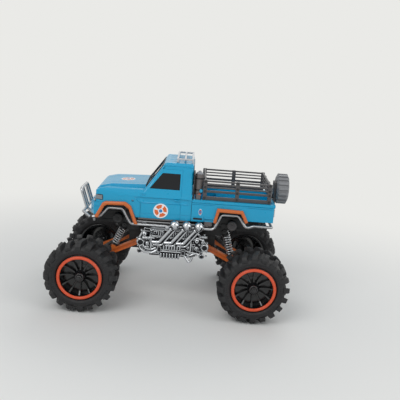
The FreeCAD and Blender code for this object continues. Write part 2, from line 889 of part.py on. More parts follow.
# Body: one moulded shell for bonnet and cab, open below, with its windows cut
def nose_profile(inset):
    """The side outline up to the wings' tops."""
    rear = -s.cab_rear + inset
    wing_z = s.wing_top_z - inset
    nose_z = s.nose_top_z - s.bonnet_rise - inset
    return [
        (rear, s.sill_z + inset), (rear, wing_z), (s.glass_base_x, wing_z),
        (s.bonnet_break_x, wing_z), (s.nose_front - s.nose_round - inset, nose_z),
        (s.nose_front - inset, nose_z - s.nose_round / 2), (s.nose_front - inset, s.bumper_top_z - inset),
        (s.bumper_front - s.bumper_bevel - inset, s.bumper_top_z - inset),
        (s.bumper_front - inset, s.bumper_top_z - s.bumper_bevel - inset),
        (s.bumper_front - inset, s.sill_z + inset),
    ]


def plan_outline(inset):
    """The outline from above, with the swept corners of nose and bumper."""
    half = s.body_half - inset
    front = s.bumper_front - inset
    left = [
        (-s.cab_rear, half), (front - s.corner_start, half),
        (front - s.corner_middle, half - s.corner_first_inset), (front, half - s.corner_inset),
    ]
    return left + [(x, -y) for x, y in reversed(left)]


def side_section(inset, foot_z):
    """The section across: tucked sill, flat flank between two creases, leaning shoulder and wing."""
    half = s.body_half - inset
    shoulder = half - s.shoulder_lean
    left = [
        (half - s.sill_tuck, foot_z), (half, s.crease_z), (half, s.belt_z), (shoulder, s.shoulder_z),
        (shoulder - s.wing_round, s.wing_edge_z - inset), (half - s.bonnet_inset, s.wing_top_z - inset),
    ]
    return left + [(-y, z) for y, z in reversed(left)]


def bonnet(inset):
    """The raised panel between the wings, with sloped flanks and a bend ahead of its middle."""
    low_z = s.nose_top_z - s.bonnet_rise * 2 - inset
    cowl_x = s.glass_base_x - s.overrun * 2
    front = s.nose_front - inset
    profile = [
        (cowl_x, low_z), (cowl_x, s.cowl_z - inset), (s.bonnet_break_x, s.bonnet_break_z - inset),
        (s.nose_front - s.nose_round - inset * BEVEL_SHARE, s.nose_top_z - inset),
        (front, s.nose_top_z - s.nose_round - inset * BEVEL_SHARE), (front, low_z),
    ]
    low_half = s.body_half - s.bonnet_inset - inset
    high_half = low_half - s.bonnet_flank
    high_z = s.cowl_z + s.overrun
    section = [(low_half, low_z), (high_half, high_z), (-high_half, high_z), (-low_half, low_z)]
    return common([slab("XZ", profile, (-low_half, low_half)), slab("YZ", section, (0, s.bumper_front))])


def greenhouse(inset):
    """The cab above the belt, leaning in at its sides, with its upper edges rounded."""
    low_z = s.shoulder_z
    high_z = s.roof_z - inset
    rear = -s.cab_rear + inset
    low_half = s.body_half - s.shoulder_lean - inset
    high_half = s.body_half - s.roof_inset - inset
    roof_front = s.roof_front - inset
    profile = [(rear, low_z), (rear, high_z), (roof_front, high_z), (s.glass_base_x - inset, low_z)]
    section = [(low_half, low_z), (high_half, high_z), (-high_half, high_z), (-low_half, low_z)]
    plain = common([
        slab("XZ", profile, (-s.body_half, s.body_half)),
        slab("YZ", section, (rear, s.glass_base_x)),
    ])
    if float(inset) > 0:
        return plain
    doc.recompute()
    rounded = doc.addObject("Part::Fillet", "greenhouse")
    rounded.Base = plain
    radius = float(s.roof_round)
    foot_z = float(low_z + s.overrun)
    edges = enumerate(plain.Shape.Edges, start=1)
    rounded.Edges = [(number, radius, radius) for number, edge in edges if edge.CenterOfMass.z > foot_z]
    return rounded


def body_block(inset):
    lower = common([
        slab("XZ", nose_profile(inset), (-s.body_half, s.body_half)),
        slab("YZ", side_section(inset, s.sill_z), (-s.cab_rear, s.bumper_front)),
        slab("XY", plan_outline(inset), (s.sill_z, s.cowl_z)),
    ])
    return joined([lower, bonnet(inset), greenhouse(inset)])


def window_space(name):
    """The space that each window's opening takes out of the shell."""
    reach = s.body_half + s.overrun
    if name == "side":
        points = [(s.window_front_low, s.window_low_z), (s.window_front_high, s.window_high_z),
                  (-s.window_rear, s.window_high_z), (-s.window_rear, s.window_low_z)]
        return slab("XZ", points, (-reach, reach))
    halves = (s.body_half - s.screen_low_inset, s.body_half - s.screen_high_inset)
    span = (s.window_rear, s.glass_base_x + s.overrun)
    if name == "back":
        halves = (s.body_half - s.back_light_inset, s.body_half - s.back_light_inset)
        span = (-s.cab_rear - s.overrun, -s.window_rear - s.overrun)
    low, high = halves
    corners = [(high, s.screen_high_z), (low, s.screen_low_z)]
    return slab("YZ", corners + [(-y, z) for y, z in reversed(corners)], span)


def arch_opening(arch_x, shares, inset):
    points = flare_points(arch_x, shares, inset)
    low = s.flare_low_z - s.overrun
    return [(points[0][0], low)] + points + [(points[-1][0], low)]


def lamp_space(proud):
    """The block of a headlamp, which wraps round the nose's corner."""
    reach = s.body_half + s.overrun
    space = block((s.nose_front - s.lamp_wrap, s.nose_front + proud), (s.body_half - s.lamp_width, reach),
                  (s.lamp_low_z, s.lamp_high_z))
    return common([space, slab("XY", plan_outline(-proud), (s.lamp_low_z, s.lamp_high_z))])


def cab_shell():
    reach = s.body_half + s.overrun
    well_z = (s.sill_z - s.overrun, s.sill_z + s.overrun * 2)
    well = common([
        slab("XY", plan_outline(s.body_wall + s.sill_tuck), well_z),
        block((-s.cab_rear + s.body_wall, s.bumper_front), (-reach, reach), well_z),
    ])
    grille_half = s.body_half - s.grille_inset
    mouth_x = (s.nose_front - s.body_wall - s.overrun, s.nose_front + s.overrun)
    mouth = block(mouth_x, (-grille_half, grille_half), (s.grille_low_z, s.grille_high_z))
    arch = slab("XZ", arch_opening(s.arch_front_x, FRONT_FLARE_SHARES, s.flare_band / 2), (-reach, reach))
    lamp = lamp_space(s.overrun)
    spaces = [body_block(s.body_wall), well, arch, mouth, lamp, opposite(lamp)]
    return less(body_block(0), spaces + [window_space(name) for name in ("side", "screen", "back")])


keep("cab_shell", cab_shell())

glass_skin = less(greenhouse(s.glass_set), [greenhouse(s.body_wall)])
keep("side_windows", common([glass_skin, window_space("side")]))
keep("windscreen", common([glass_skin, window_space("screen")]))
keep("rear_window", common([glass_skin, window_space("back")]))

floor_half = s.body_half - s.body_wall
floor_x = (-s.cab_rear + s.body_wall, s.arch_front_x - s.flare_reach)
keep("cab_floor", block(floor_x, (-floor_half, floor_half), (s.sill_z, s.sill_z - s.cab_floor_thick)))


def grille():
    back = s.nose_front - s.body_wall
    opening_half = s.body_half - s.grille_inset
    half = opening_half + s.grille_margin
    parts = [block((back, back - s.grille_depth), (-half, half),
                   (s.grille_low_z - s.grille_margin, s.grille_high_z + s.grille_margin))]
    pitch = (s.grille_high_z - s.grille_low_z) / s.slat_count
    slat_half = opening_half - s.side_gap
    slat_x = (back, s.nose_front - s.side_gap)
    for index in range(int(s.slat_count)):
        low = s.grille_low_z + (index + 1 / 2) * pitch - s.slat_height / 2
        parts.append(block(slat_x, (-slat_half, slat_half), (low, low + s.slat_height)))
    return joined(parts)


keep("grille", grille())
keep("headlamps", both_sides(lamp_space(s.lamp_proud)))


# Flares over the arches, fitted to the body's side
def flare(arch_x, shares):
    outer = flare_points(arch_x, shares)
    inner = flare_points(arch_x, shares, s.flare_band)
    face_y = s.body_half + s.flare_out
    bevel_y = float(face_y - s.flare_bevel)
    band = slab("XZ", outer + inner[::-1], (s.body_half - s.corner_inset / 2, face_y))
    bevelled(band, s.flare_bevel, lambda edge: min(v.Y for v in edge.Vertexes) > bevel_y)
    flank = slab("YZ", side_section(0, s.flare_low_z), (-s.bed_rear, s.bumper_front))
    plan = slab("XY", plan_outline(0), (s.flare_low_z, s.cowl_z))
    return less(band, [common([flank, plan]) if float(arch_x) > 0 else flank])


keep("front_flares", both_sides(flare(s.arch_front_x, FRONT_FLARE_SHARES)))
keep("rear_flares", both_sides(flare(-s.arch_rear_x, REAR_FLARE_SHARES)))


# Cargo bed: an open box with a rolled rim, a ribbed floor, wheel houses and a pressed tailgate
def cargo_bed():
    half = s.body_half
    rear = -s.bed_rear
    rim_half = half + s.ledge_proud
    step_x = -s.arch_rear_x - s.flare_reach / 2
    profile = [(bed_front_x, s.sill_z), (bed_front_x, s.bed_top_z), (rear, s.bed_top_z),
               (rear, s.bed_tail_z), (step_x, s.bed_tail_z), (step_x, s.sill_z)]
    section = [(half - s.sill_tuck, s.sill_z), (half, s.crease_z), (half, s.bed_top_z)]
    section = section + [(-y, z) for y, z in reversed(section)]
    outer = common([slab("XZ", profile, (-half, half)), slab("YZ", section, (rear, bed_front_x))])
    rim = [(half, s.ledge_z), (rim_half, s.ledge_z + s.ledge_slope), (rim_half, s.bed_top_z)]
    rim = slab("YZ", rim + [(-y, z) for y, z in reversed(rim)], (rear - s.ledge_proud, bed_front_x))
    cargo_front = bed_front_x - s.bed_wall
    cargo_rear = rear + s.bed_wall
    cargo_half = half - s.bed_side
    cargo_x = (cargo_front, cargo_rear)
    cargo = block(cargo_x, (-cargo_half, cargo_half), (s.bed_floor_z, s.bed_top_z + s.overrun))
    under_half = half - s.body_wall - s.sill_tuck
    under_z = (s.bed_floor_z - s.bed_wall, s.sill_z - s.overrun)
    under = block(cargo_x, (-under_half, under_half), under_z)
    panel_half = half - s.panel_margin
    panel_x = (rear - s.overrun, rear + s.panel_depth)
    panel = block(panel_x, (-panel_half, panel_half), (s.panel_low_z, s.panel_high_z))
    slot_y = (half - s.panel_depth, half + s.overrun)
    slot = block((-s.slot_front, -s.slot_rear), slot_y, (s.slot_low_z, s.slot_high_z))
    solid = less(joined([outer, rim]), [cargo, under, panel, slot, opposite(slot)])
    inner_y = half - s.house_inset
    opening = arch_opening(-s.arch_rear_x, REAR_FLARE_SHARES, s.flare_band / 2)
    outline = arch_opening(-s.arch_rear_x, REAR_FLARE_SHARES, s.flare_band / 2 - s.body_wall)
    house = common([
        slab("XZ", outline, (inner_y - s.body_wall, cargo_half)),
        block(cargo_x, (0, cargo_half), (s.bed_floor_z - s.bed_wall, s.bed_top_z)),
    ])
    well = slab("XZ", opening, (inner_y, half + s.overrun * 2))
    ribs = []
    pitch = 2 * (inner_y - s.body_wall) / s.floor_rib_count
    rib_z = (s.bed_floor_z, s.bed_floor_z + s.floor_rib)
    for index in range(int(s.floor_rib_count)):
        y = -(inner_y - s.body_wall) + (index + 1 / 2) * pitch
        ribs.append(block(cargo_x, (y - pitch / 4, y + pitch / 4), rib_z))
    return less(joined([solid, house, opposite(house)] + ribs), [well, opposite(well)])


keep("cargo_bed", cargo_bed())


# Silver tubes under the body, along the sills and through the arches
def side_rail():
    front = flare_points(s.arch_front_x, FRONT_FLARE_SHARES)
    rear = flare_points(-s.arch_rear_x, REAR_FLARE_SHARES)
    drop = s.flare_band + s.rail_radius * 2
    front_top = front[2][1] - drop
    rear_top = rear[1][1] - drop
    line = [
        (s.bar_foot_x - s.rail_radius * 2, s.bar_foot_z), (front[0][0] - s.flare_band, front[0][1]),
        (front[2][0], front_top), (front[4][0] + drop, front_top), (front[5][0] + drop, s.rail_z),
        (rear[0][0], s.rail_z), (rear[1][0] - s.rail_radius * 3, rear_top),
        (rear[2][0] + s.rail_radius * 2, rear_top), (rear[3][0], s.flare_low_z + s.rail_radius * 2),
        (rear[3][0] - drop, tail_rail_z), (-s.bed_rear, tail_rail_z),
    ]
    lower = tube([V(x, rail_y, z) for x, z in line], s.rail_radius, s.rail_bend)
    reach = s.bracket_x + s.bracket_length / 2
    upper_place = (s.body_half - s.rail_upper_inset, s.rail_z + s.rail_upper_rise)
    parts = [lower, many_sided("X", (-reach, reach), upper_place, s.rail_radius, s.tube_sides)]
    for x in (s.bracket_x, -s.bracket_x):
        x_pair = (x - s.bracket_length / 2, x + s.bracket_length / 2)
        parts.append(block(x_pair, (frame_outer_y, rail_y), (s.rail_z - s.rail_radius, frame_top_z)))
    return joined(parts)


near_rail = side_rail()
tail_rail = many_sided("Y", (-rail_y, rail_y), (-s.bed_rear, tail_rail_z), s.rail_radius, s.tube_sides)
keep("side_rails", joined([near_rail, opposite(near_rail), tail_rail]))


# Bull bar: a leaning hoop with inner uprights on a plate across the frame's front
def bull_bar():
    foot = (s.bar_foot_x, s.bar_foot_z)
    low = (s.bar_low_x, s.bar_low_z)
    top = (s.bar_top_x, s.bar_top_z)
    upright = [V(x, s.bar_y, z) for x, z in (foot, low, top)]
    hoop = upright + [V(point.x, -point.y, point.z) for point in reversed(upright)]
    parts = [tube(hoop, s.bar_radius, s.bar_bend)]
    parts.append(many_sided("Y", (-rail_y, rail_y), low, s.bar_radius, s.tube_sides))
    for side in (-1, 1):
        for start, finish, y in ((low, top, side * s.bar_inner_y), (foot, low, side * rail_y)):
            parts.append(tube([V(start[0], y, start[1]), V(finish[0], y, finish[1])], s.bar_radius))
    plate_half = s.frame_y + s.frame_width
    y_pair = (-plate_half, plate_half)
    plate_x = (s.frame_front, s.frame_front + s.bar_plate_thick)
    shelf_z = (s.bar_foot_z - s.bar_plate_thick, s.bar_foot_z + s.bar_radius)
    parts.append(block(plate_x, y_pair, (frame_low_z, s.bar_foot_z)))
    parts.append(block((s.frame_front, s.bar_foot_x), y_pair, shelf_z))
    return joined(parts)


keep("bull_bar", bull_bar())


# Chrome engine relief on each side of the tub
engine_face_y = s.tub_half + s.engine_plate


def header(index):
    """A raked exhaust header: its elbow from the block, the pipe and the ball at its tip."""
    x = s.header_first_x - index * s.header_pitch
    pipe_y = engine_face_y + s.header_out - s.header_radius
    head = V(x + s.header_radius, engine_face_y, s.header_low_z)
    low = V(x, pipe_y, s.header_low_z)
    tip = V(x - s.header_rake, pipe_y, s.header_top_z)
    way = (tip - low).normalize()
    ball = [(s.tip_radius * share, s.tip_length * reach) for share, reach in BALL_SHARES]
    return [tube([head, low, tip], s.header_radius, s.header_bend),
            form(turned(ball, s.tube_sides, tip - way * float(s.tip_length / 2), way, False))]


def belt_wheel(x):
    """A belt wheel on the block's end: a grooved rim round a deep dish."""
    out = s.pulley_out
    groove = out / 4
    section = [
        (s.pulley_radius, 0), (s.pulley_radius, out / 2), (s.pulley_radius - groove, out - groove),
        (s.pulley_radius, out), (s.pulley_bore, out), (s.pulley_bore, out / 2),
    ]
    return form(turned(section, s.axle_sides, V(x, engine_face_y, s.pulley_z), V(0, 1, 0), False))


def engine_side():
    length = s.engine_front + s.engine_rear
    height = s.engine_high_z - s.engine_low_z
    outline = [(-s.engine_rear + a * length, s.engine_low_z + b * height) for a, b in ENGINE_SHARES]
    block_x = (-s.block_rear, s.block_front)
    cover_y = engine_face_y + s.cover_out
    sump_y = engine_face_y + s.sump_out
    bevel = s.cover_bevel
    cover = [
        (engine_face_y, s.block_high_z), (cover_y - bevel, s.block_high_z), (cover_y, s.block_high_z + bevel),
        (cover_y, s.cover_high_z - bevel), (cover_y - bevel, s.cover_high_z), (engine_face_y, s.cover_high_z),
    ]
    sump_low = s.sump_low_z + s.sump_out / 2
    sump = [
        (engine_face_y, s.block_low_z), (sump_y, s.block_low_z), (sump_y, sump_low),
        (engine_face_y, s.sump_low_z),
    ]
    parts = [
        slab("XZ", outline, (s.tub_half, engine_face_y)),
        block(block_x, (engine_face_y, engine_face_y + s.block_out), (s.block_low_z, s.block_high_z)),
        slab("YZ", cover, block_x),
        slab("YZ", sump, (-s.sump_half, s.sump_half)),
    ]
    rib_y = (engine_face_y, sump_y + s.rib_out)
    for index in range(int(2 * s.sump_half / s.rib_pitch)):
        x = -s.sump_half + (index + 1 / 2) * s.rib_pitch
        parts.append(block((x, x + s.rib_width), rib_y, (sump_low, s.block_low_z)))
    for index in range(CYLINDERS):
        parts = parts + header(index)
    for x in (s.pulley_front, -s.pulley_rear):
        parts.append(belt_wheel(x))
    eyes = []
    eye_y = (engine_face_y, sump_y + s.overrun)
    for x in (s.eye_front, -s.eye_rear):
        parts.append(many_sided("Y", (s.tub_half, sump_y), (x, s.eye_z), s.eye_radius, s.axle_sides))
        eyes.append(many_sided("Y", eye_y, (x, s.eye_z), s.eye_bore, s.axle_sides))
    canister_y = (engine_face_y, engine_face_y + s.canister_out)
    canister_place = (-s.canister_x, s.canister_z)
    parts.append(many_sided("Y", canister_y, canister_place, s.canister_radius, s.axle_sides))
    hose_y = engine_face_y + s.hose_radius * 2
    hose = [
        V(s.pulley_front, hose_y, s.pulley_z), V(s.pulley_front, hose_y, s.eye_z + s.eye_radius * 2),
        V(s.eye_front, hose_y, s.eye_z), V(0, hose_y, s.eye_z),
    ]
    parts.append(tube(hose, s.hose_radius, s.hose_radius * 2))
    return less(joined(parts), eyes)


left_engine = engine_side()
keep("engine_left", left_engine)
keep("engine_right", opposite(left_engine))


# Side tanks hang under the bed, in front of the rear arch
def side_tank():
    outer = s.body_half - s.body_wall - s.sill_tuck
    inner = outer - s.side_tank_depth
    bevel = s.side_tank_bevel
    low = s.side_tank_low_z
    high = s.side_tank_high_z
    section = [
        (inner, high), (inner, low + bevel), (inner + bevel, low),
        (outer - bevel, low), (outer, low + bevel), (outer, high),
    ]
    return slab("YZ", section, (-s.side_tank_front, -s.side_tank_rear))


keep("side_tanks", both_sides(side_tank()))


# Bed rack: posts, rails and slats all round, standing on the bed's rim
def bed_rack():
    half = s.body_half - s.rack_inset
    outer = half + s.rack_thick / 2
    inner = half - s.rack_thick / 2
    posts = [-s.rack_first_x - index * s.rack_pitch for index in range(3)]
    double = (s.rack_top_z - s.rack_rail_low_z - s.rack_gap) / 2
    rows = [
        (s.rack_slat_z - s.rack_slat / 2, s.rack_slat_z + s.rack_slat / 2),
        (s.rack_rail_low_z, s.rack_rail_low_z + double), (s.rack_top_z - double, s.rack_top_z),
    ]
    x_pair = (posts[0] + s.rack_post / 2, posts[-1] - s.rack_post / 2)
    side = [block(x_pair, (inner, outer), pair) for pair in rows + [(s.bed_top_z, s.bed_top_z + s.rack_base)]]
    for x in posts:
        post_x = (x - s.rack_post / 2, x + s.rack_post / 2)
        side.append(block(post_x, (inner, outer), (s.bed_top_z, s.rack_top_z)))
    near = joined(side)
    parts = [near, opposite(near)]
    for x in (posts[0], posts[-1]):
        for pair in rows:
            parts.append(block((x - s.rack_thick / 2, x + s.rack_thick / 2), (-inner, inner), pair))
    return joined(parts)


keep("bed_rack", bed_rack())


def mist_tank():
    x = -s.tank_x
    y = s.body_half - s.tank_inset
    height = s.tank_top_z - s.tank_low_z
    radius = s.tank_radius
    neck = radius - s.tank_round
    section = [(neck, 0), (radius, s.tank_round), (radius, height - s.tank_round), (neck, height)]
    tank = form(turned(section, s.tank_sides, V(x, y, s.tank_low_z), V(0, 0, 1), False))
    foot = block((x - radius / 2, x + radius / 2), (y - radius / 2, s.body_half - s.body_wall),
                 (s.bed_top_z, s.tank_low_z + s.tank_round))
    return joined([tank, foot])


keep("mist_tank", mist_tank())


# Spare wheel on the tailgate, its axis along X
def spare_tyre():
    half = s.spare_width / 2
    bevel = s.spare_lug
    root = s.spare_radius - s.spare_lug
    plain = [(-half, s.spare_bore), (-half, root - bevel), (-half + bevel, root), (half - bevel, root),
             (half, root - bevel), (half, s.spare_bore)]
    ribbed = [(-half, s.spare_bore), (-half, root - bevel), (-half + bevel, s.spare_radius),
              (half - bevel, s.spare_radius), (half, root - bevel), (half, s.spare_bore)]
    tyre_form = form(toothed([ribbed, plain], 2 * int(s.spare_lug_count)))
    tyre_form.Placement = FreeCAD.Placement(V(-s.spare_x, 0, s.spare_z), FreeCAD.Rotation(V(0, 0, 1), 90))
    return tyre_form


keep("spare_tyre", spare_tyre())


def spare_carrier():
    front = -s.bed_rear - s.ledge_proud
    tyre_front = -s.spare_x + s.spare_width / 2
    plate_front = tyre_front + s.spare_plate
    wide = s.spare_arm_half * 2
    centre = (0, s.spare_z)
    plate_z = (s.spare_z - s.spare_bore, s.spare_z + s.spare_bore)
    parts = [block((tyre_front, plate_front), (-wide, wide), plate_z)]
    for side in (-1, 1):
        y_pair = (side * s.spare_arm_half, side * wide)
        parts.append(block((front, plate_front), y_pair, (s.bed_floor_z, s.bed_top_z)))
        parts.append(block((tyre_front, plate_front), y_pair, (s.bed_floor_z, s.spare_z)))
    hub_end = -s.spare_knob_end + s.spare_knob_radius / 2
    parts.append(many_sided("X", (tyre_front, hub_end), centre, s.spare_bore - s.side_gap, s.tank_sides))
    parts.append(many_sided("X", (tyre_front, -s.spare_knob_end), centre, s.spare_knob_radius, s.axle_sides))
    return joined(parts)


keep("spare_carrier", spare_carrier())

lamp_high_y = s.body_half - s.ledge_proud
keep("tail_lamps", both_sides(block((-s.bed_rear, -s.bed_rear - s.tail_lamp_proud),
                                    (lamp_high_y - s.tail_lamp_width, lamp_high_y),
                                    (s.tail_lamp_low_z, s.tail_lamp_high_z))))


# Roof rack: a low frame of grey bars on the rear half of the roof
def roof_rack():
    top = s.roof_z + s.roof_rack_rise
    bar = s.roof_rack_tube
    outer = s.body_half - s.roof_rack_inset
    front = -s.roof_rack_front
    rear = -s.roof_rack_rear
    parts = []
    for side in (-1, 1):
        y_pair = (side * (outer - bar), side * outer)
        parts.append(block((front, rear), y_pair, (top - bar, top)))
        for x in (front, rear + bar):
            parts.append(block((x, x - bar), y_pair, (s.roof_z, top)))
    for x in (front, (front + rear + bar) / 2, rear + bar):
        parts.append(block((x, x - bar), (-outer, outer), (top - bar, top)))
    return joined(parts)


keep("roof_rack", roof_rack())


# Steering knuckles and the tie rod between their arms
arm_x = axle_x - s.steer_arm
arm_low_z = axle_z - s.steer_arm_drop - s.steer_arm_thick / 2


def knuckle(side):
    half = s.knuckle_height / 2
    y = side * s.kingpin_y
    reach = half + s.side_gap + s.ear_thick
    wide = s.steer_arm_width / 2
    arm_z = (arm_low_z, arm_low_z + s.steer_arm_thick)
    return joined([
        many_sided("Z", (axle_z - half, axle_z + half), (axle_x, y), s.knuckle_half, s.axle_sides),
        pin("Z", (axle_z - reach, axle_z + reach), (axle_x, y), s.kingpin_radius),
        pin("Y", (y, side * stub_end_y), (axle_x, axle_z), s.stub_radius),
        block((arm_x, axle_x), (y - wide, y + wide), arm_z),
        many_sided("Z", arm_z, (arm_x, y), wide, s.axle_sides),
        pin("Z", (arm_low_z, arm_low_z - s.tie_eye_thick - s.side_gap), (arm_x, y), s.tie_pin_radius),
    ])


keep("knuckle_fl", knuckle(1))
keep("knuckle_fr", knuckle(-1))


def tie_rod():
    top = arm_low_z - s.side_gap / 2
    low = top - s.tie_eye_thick
    wide = s.steer_arm_width / 2
    reach = s.kingpin_y - wide / 2
    parts = [many_sided("Y", (-reach, reach), (arm_x, (top + low) / 2), s.tie_rod_radius, s.tube_sides)]
    bores = []
    bore_z = (low - s.overrun, top + s.overrun)
    for y in (-s.kingpin_y, s.kingpin_y):
        parts.append(many_sided("Z", (low, top), (arm_x, y), wide, s.axle_sides))
        bores.append(pin("Z", bore_z, (arm_x, y), s.tie_pin_radius + s.running_gap))
    return less(joined(parts), bores)


keep("tie_rod", tie_rod())


# Wheels, made about the Y axis at the origin and then placed
def tyre():
    """Two staggered rows of lugs: each wedge carries a lug on one side and bare carcass on the other."""
    half = s.tyre_width / 2
    wall = carcass_radius - s.lug_height
    bare = [(0, carcass_radius), (half - s.shoulder_drop * 3, carcass_radius), (half, wall)]
    lug = [
        (s.lug_groove, carcass_radius), (s.lug_groove, s.tyre_radius), (half - s.shoulder_drop, s.tyre_radius),
        (half, s.tyre_radius - s.shoulder_drop), (half, wall),
    ]
    outlines = []
    for right, left in ((bare[1:], lug), (lug, bare[1:])):
        outline = [(-reach, radius) for reach, radius in reversed(right)] + left
        outlines.append([(-rim_edge, s.bead_radius)] + outline + [(rim_edge, s.bead_radius)])
    return toothed(outlines, 2 * int(s.lug_count))


def spoke(inner):
    """A slim spoke that leaves the hub narrow and deepens towards the barrel."""
    face_y = rim_edge - s.face_depth
    rings = []
    for radius, half, depth in (
        (s.hub_radius / 2, s.spoke_width / 4, s.spoke_thick),
        (inner + s.rim_wall / 2, s.spoke_width / 2, s.face_depth),
    ):
        rings.append([V(-half, face_y - depth, radius), V(half, face_y - depth, radius),
                      V(half, face_y, radius), V(-half, face_y, radius)])
    return faceted(rings, False)


def rim():
    """A barrel, a dished face of slim spokes, a bored hub and its nose."""
    sides = int(s.lug_count)
    outer = s.bead_radius - s.rim_gap
    inner = outer - s.rim_wall
    barrel = [(outer, -rim_edge), (outer, rim_edge), (inner, rim_edge), (inner, -rim_edge)]
    face_y = rim_edge - s.face_depth
    hub = [(s.hub_radius, face_y - s.face_depth * 2), (s.hub_radius, face_y),
           (s.hub_nose_radius, face_y + s.hub_nose)]
    parts = [turned(hub, s.hub_sides, V(0, 0, 0), V(0, 1, 0), False)]
    first = spoke(inner)
    count = int(s.spoke_count)
    for index in range(count):
        copy = first.copy()
        copy.rotate(V(0, 0, 0), V(0, 1, 0), 360 * index / count)
        parts.append(copy)
    solid = turned(barrel, sides, V(0, 0, 0), V(0, 1, 0)).fuse(parts)
    bore_radius = s.stub_radius + s.running_gap
    bore_length = s.tyre_width + stub_end_y + s.side_gap - s.wheel_centre_y
    bore = Part.makeCylinder(bore_radius, bore_length, V(0, -s.tyre_width, 0), V(0, 1, 0))
    return solid.removeSplitter().cut(bore)


def bead_ring():
    high = rim_edge + s.ring_thick
    middle = s.ring_radius - s.ring_band / 3
    inner = s.ring_radius - s.ring_band
    section = [
        (s.ring_radius, rim_edge), (s.ring_radius, high - s.ring_thick / 3), (middle, high), (inner, high),
        (inner, rim_edge),
    ]
    return turned(section, s.ring_sides, V(0, 0, 0), V(0, 1, 0))


wheel_forms = {"tyre": tyre(), "rim": rim(), "bead_ring": bead_ring()}
for end, side, corner_name in ((1, 1, "fl"), (1, -1, "fr"), (-1, 1, "rl"), (-1, -1, "rr")):
    centre = V(end * axle_x, side * s.wheel_centre_y, axle_z)
    for piece, shape in wheel_forms.items():
        facing = shape if side > 0 else shape.mirror(V(0, 0, 0), V(0, 1, 0))
        keep("%s_%s" % (piece, corner_name), form(facing, centre))

doc.recompute()
for item in doc.Objects:
    if "Invalid" in item.State or "Error" in item.State:
        raise RuntimeError("%s is in state %s" % (item.Name, item.State))
for name, item in nodes.items():
    if item.Shape.isNull() or not item.Shape.isValid() or item.Shape.Volume <= 0:
        raise RuntimeError("%s has no valid shape" % name)

os.makedirs("parts", exist_ok=True)
for name, item in nodes.items():
    item.Shape.exportStep("parts/%s.step" % name)
print("%d sub-parts written" % len(nodes))
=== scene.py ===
import json
import math
import bmesh
import bpy
from mathutils import Matrix, Vector

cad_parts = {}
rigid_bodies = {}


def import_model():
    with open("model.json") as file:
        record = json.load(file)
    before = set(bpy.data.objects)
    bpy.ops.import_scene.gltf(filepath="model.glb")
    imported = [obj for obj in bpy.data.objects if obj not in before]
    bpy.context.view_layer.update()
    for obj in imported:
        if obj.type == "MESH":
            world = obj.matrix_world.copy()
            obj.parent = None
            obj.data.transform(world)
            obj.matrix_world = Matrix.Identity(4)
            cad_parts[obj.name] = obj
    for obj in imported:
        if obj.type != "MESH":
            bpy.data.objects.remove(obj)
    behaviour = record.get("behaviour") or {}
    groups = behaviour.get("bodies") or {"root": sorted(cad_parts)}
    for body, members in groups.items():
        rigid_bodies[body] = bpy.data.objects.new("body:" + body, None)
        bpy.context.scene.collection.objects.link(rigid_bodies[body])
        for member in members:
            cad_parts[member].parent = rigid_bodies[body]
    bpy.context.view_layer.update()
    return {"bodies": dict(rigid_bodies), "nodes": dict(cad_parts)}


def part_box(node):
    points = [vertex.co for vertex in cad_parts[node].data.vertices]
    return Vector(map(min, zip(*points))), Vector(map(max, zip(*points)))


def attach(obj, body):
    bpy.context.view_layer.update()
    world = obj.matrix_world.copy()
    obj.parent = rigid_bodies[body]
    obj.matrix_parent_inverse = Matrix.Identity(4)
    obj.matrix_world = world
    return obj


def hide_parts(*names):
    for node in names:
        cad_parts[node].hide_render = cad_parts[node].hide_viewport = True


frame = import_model()

# Toy monster truck: +X forward, +Y to its left, +Z up. Sizes below are in millimetres.
MM = 0.001
# Each wheel's side of the truck: 1 is left
CORNER_SIDES = {"fl": 1, "fr": -1, "rl": 1, "rr": -1}

# Wheel
LUG_COUNT = 20
LUG_TOP = 48.3
CARCASS = 42.4
TYRE_HALF = 23.9
BEAD = 30.6
SPOKE_COUNT = 12
RING_OUTER = 29.5
RING_INNER = 25.4

# Tubes along the body and the bull bar, as in the frame: X and Z points at the given Y
RAIL_Y = 47.0
RAIL_RADIUS = 1.95
RAIL_BEND = 6.0
RAIL_LINE = [
    (108.8, 118.0), (98.4, 119.6), (87.8, 132.4), (67.6, 132.4), (56.4, 112.0), (-57.4, 112.0),
    (-67.0, 133.4), (-90.2, 133.4), (-101.8, 116.8), (-111.4, 120.5), (-136.6, 120.5),
]
# The straight tube over each sill: Y, Z and half its length
UPPER_RAIL = (41.5, 115.2, 50.0)
# The bull bar's feet, lower bend and top, and the Y of its hoop and of its braces
BAR_FOOT = (112.0, 118.0)
BAR_LOW = (121.0, 125.0)
BAR_TOP = (129.4, 151.0)
BAR_Y = 23.0
BAR_INNER_Y = 10.0
BAR_RADIUS = 1.9
BAR_BEND = 5.0

# Shocks: foot and top as X and Z at the link arms' Y
SHOCK_Y = 28.0
SHOCK_FRONT = ((80.0, 72.6), (66.6, 104.4))
SHOCK_REAR = ((86.0, 69.7), (74.4, 104.4))

# Pins of the link arms: X from the middle, and Z
ARM_PINS = ((40.0, 86.0), (104.0, 55.0))

# Places on the body
DOOR_ROUNDEL = (16.0, 134.0)
BONNET_ROUNDEL_X = 67.0
BONNET_ROUNDEL_Z = 164.75
ROUNDEL_RADIUS = 10.0
BODY_SIDE = 52.0


# Colour and node helpers
def linear(code):
    """An sRGB hex colour as linear RGBA."""
    parts = [int(code[i:i + 2], 16) / 255 for i in (1, 3, 5)]
    return [c / 12.92 if c <= 0.04045 else ((c + 0.055) / 1.055) ** 2.4 for c in parts] + [1.0]


